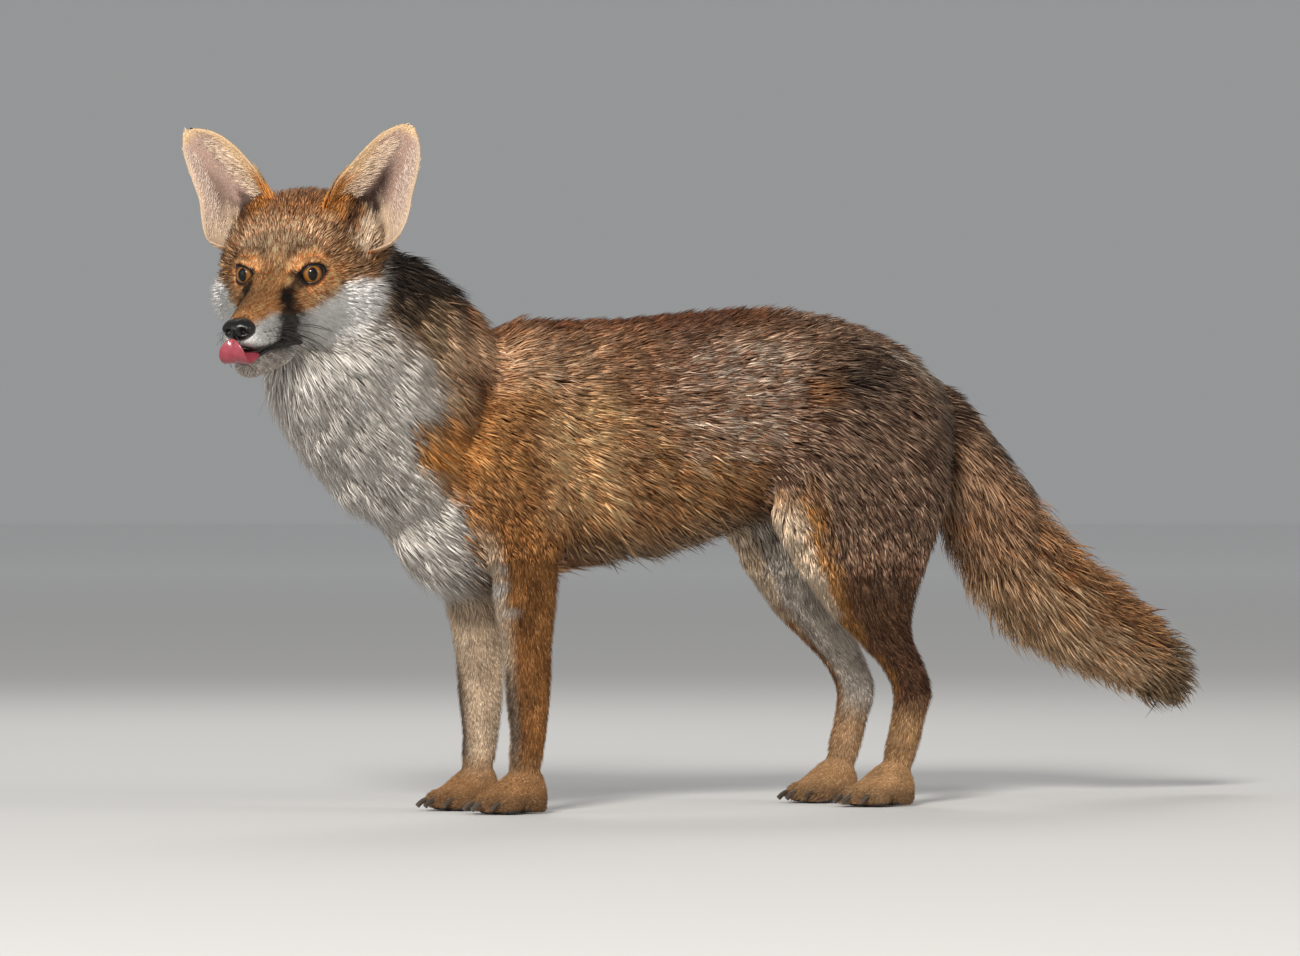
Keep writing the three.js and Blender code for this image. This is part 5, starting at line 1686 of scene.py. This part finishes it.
def headStrand(at, aim, bend, long, side):  # given for the fox's left
    aim, bend = (headTurn @ unit(onSide(way, side)) for way in (aim, bend))
    return fromHead(onSide(at, side)), aim, bend, long


# widths are shares of the length
whiskerSpec = {
    "Bend": 0.32, "Root Width": 0.0055, "Steps": 14, "Sides": 5, "rows": 4, "inRow": 5, "longest": 52,
}


def whiskerRows():
    rng = np.random.default_rng(9)
    rows = []
    for side in sides.values():
        for row, k, x, z in whiskerBeds():
            x, z = x + rng.normal(0, 0.8), z + rng.normal(0, 0.5)
            y = np.interp(x, [30, 50, 66], [20.5, 18.5, 15]) - 0.8
            ahead, up = -0.55 - 0.12 * k + rng.normal(0, 0.08), -0.10 - 0.16 * row + rng.normal(0, 0.07)
            long = whiskerSpec["longest"] * np.interp(k, [0, 2, 4], [0.55, 0.85, 1.0]) * rng.uniform(0.8, 1.0)
            rows.append(headStrand((x, y, z), (ahead, 0.95 - 0.06 * k, up), (-0.8, 0.1, -0.5), long, side))
        for k in range(4):  # bristles over the eye
            at = (1 - 2 * k, 17 + 4 * k, 15.5 - k)
            rows.append(headStrand(at, (0.1, 0.35, 1.0), (-1, 0, 0), 17 + 3 * (k % 2), side))
    return rows


# outer is the share of the length that the outer toes' claws have
clawSpec = {
    "Bend": 0.4, "Root Width": 0.19, "Flatness": 0.72, "Steps": 10, "Sides": 10, "long": 11, "outer": 0.88,
}


def clawRows():
    rows = []
    for side in sides.values():
        for x, out in pawPlaces.values():
            for ahead, aside, half, _ in toeRows:
                at = np.array([x - ahead - half + 4.5, side * (out + aside), 9.0])
                aim = unit(np.array([-1.0, side * aside * 0.004, -0.12]))
                long = clawSpec["long"] * (clawSpec["outer"] if abs(aside) > 10 else 1)
                rows.append((at, aim, -axisZ, long))
    return rows


# half sizes of the pads under each palm and toe, and how high their middles are
padSpec = {"palm": (9, 12, 2.5), "palmUp": 2.6, "toe": (7.2, 4.6, 2.3), "toeUp": 2.4}


def makePads(leather):
    parts = []
    for side in sides.values():
        for x, out in pawPlaces.values():
            parts.append(ballSolid((x - 4, side * out, padSpec["palmUp"]), padSpec["palm"], 12, 20))
            for ahead, aside, *_ in toeRows:
                at = (x - ahead + 1, side * (out + aside), padSpec["toeUp"])
                parts.append(ballSolid(at, padSpec["toe"], 10, 16))
    places, faces = joinParts(parts)
    piece = makeMesh("paw_pads", places, faces, leather)
    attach(piece, "root")


floorSpec = {"radius": 40, "down": 0.0005, "near": (0.58, 0.575, 0.565), "far": (0.93, 0.93, 0.93)}  # metres


def makeFloor():  # paler far behind the fox, as painted light where the lamps' light falls off, so that it ends in the background's own tone
    angles = np.linspace(0, 2 * np.pi, 64, endpoint=False)
    reach, down = floorSpec["radius"], -floorSpec["down"]
    mesh = bpy.data.meshes.new("floor")
    mesh.from_pydata([(reach * math.cos(a), reach * math.sin(a), down) for a in angles], [], [tuple(range(64))])
    back = (-Vector(bpy.context.scene.camera.location) * Vector((1, 1, 0))).normalized()
    kinds = {
        "place": ("ShaderNodeTexCoord", {}),
        "behind": ("ShaderNodeVectorMath", {"operation": "DOT_PRODUCT", 1: back}),
        "span": ("ShaderNodeMapRange", {"From Min": 1.5, "From Max": 16.0}),
        "ramp": ("ShaderNodeValToRGB", {"stops": [(0, floorSpec["near"]), (1, floorSpec["far"])]}),
    }
    mesh.materials.append(newMaterial("pale floor", {"Roughness": 0.9}, kinds, [
        "place.Object > behind.0", "behind.Value > span.Value", "span.Result > ramp.Fac",
        "ramp.Color > shader.Base Color"]))
    addPiece("floor", mesh)


makeView()
makeLights()
makeFloor()
fur = furMaterial("fur", 0.68, 700, 0.0, 0.18)
under = furMaterial("undercoat", 0.8, 900, 0.7, 0.3)
black = wetMaterial("black skin", (7, 6, 6), (15, 13, 12), 900, 0.5, 0.12, 0.0002)
leather = wetMaterial("nose leather", (7, 6, 6), (17, 15, 15), 620, 0.4, 0.3, 0.0004, 0.8)
padSkin = wetMaterial("pad leather", (30, 26, 24), (54, 46, 42), 500, 0.7, 0.05, 0.0004)
flesh = wetMaterial("tongue flesh", (116, 36, 46), (160, 70, 82), 1100, 0.4, 0.35, 0.0003, 0.6)
gum = wetMaterial("mouth lining", (52, 26, 26), (92, 48, 46), 500, 0.4, 0.4)
horn = wetMaterial("claw horn", (34, 28, 24), (86, 74, 62), 260, 0.35, 0.3, 0.0001, 0.2)
bristle = newMaterial("whisker", {"Roughness": 0.4, "Base Color": (*rgb(30, 24, 22), 1)})
stage("room and finishes")

skinMesh, skinPlaces, skinTree = makeSkin()
marks = bodyMarks(fieldsAt(skinPlaces, vertexNormals(skinMesh)), skinPlaces)
# the skin takes the coat's markings darkened to 0.55: painted shade, the shade deep among the hairs
skin = finishMesh("skin", skinMesh, under, marks[:, 0] * 0.55)
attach(skin, "root")
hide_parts("head", "lower_jaw", "neck", "torso", "tail",
            *[limb + "_" + side for limb in ("foreleg", "hindleg", "forepaw", "hindpaw") for side in sides])
stage(f"skin of {len(skinMesh.polygons)} faces")

makeEyes()
lidMeshes = makeLids(skinTree, black, under)
makeNose(leather)
makeTongue(flesh)
makeMouth(black, gum)
for name, side in sides.items():
    makeEar(name, side, under)
stage("eyes, nose, mouth and ears")

strands = strandTree()
growStrands("whiskers", strands, whiskerRows(), whiskerSpec, bristle)
growStrands("claws", strands, clawRows(), clawSpec, horn)
makePads(padSkin)
stage("whiskers, claws and pads")

makeCoat(skinMesh, skinPlaces, lidMeshes, fur)
stage("coat done")
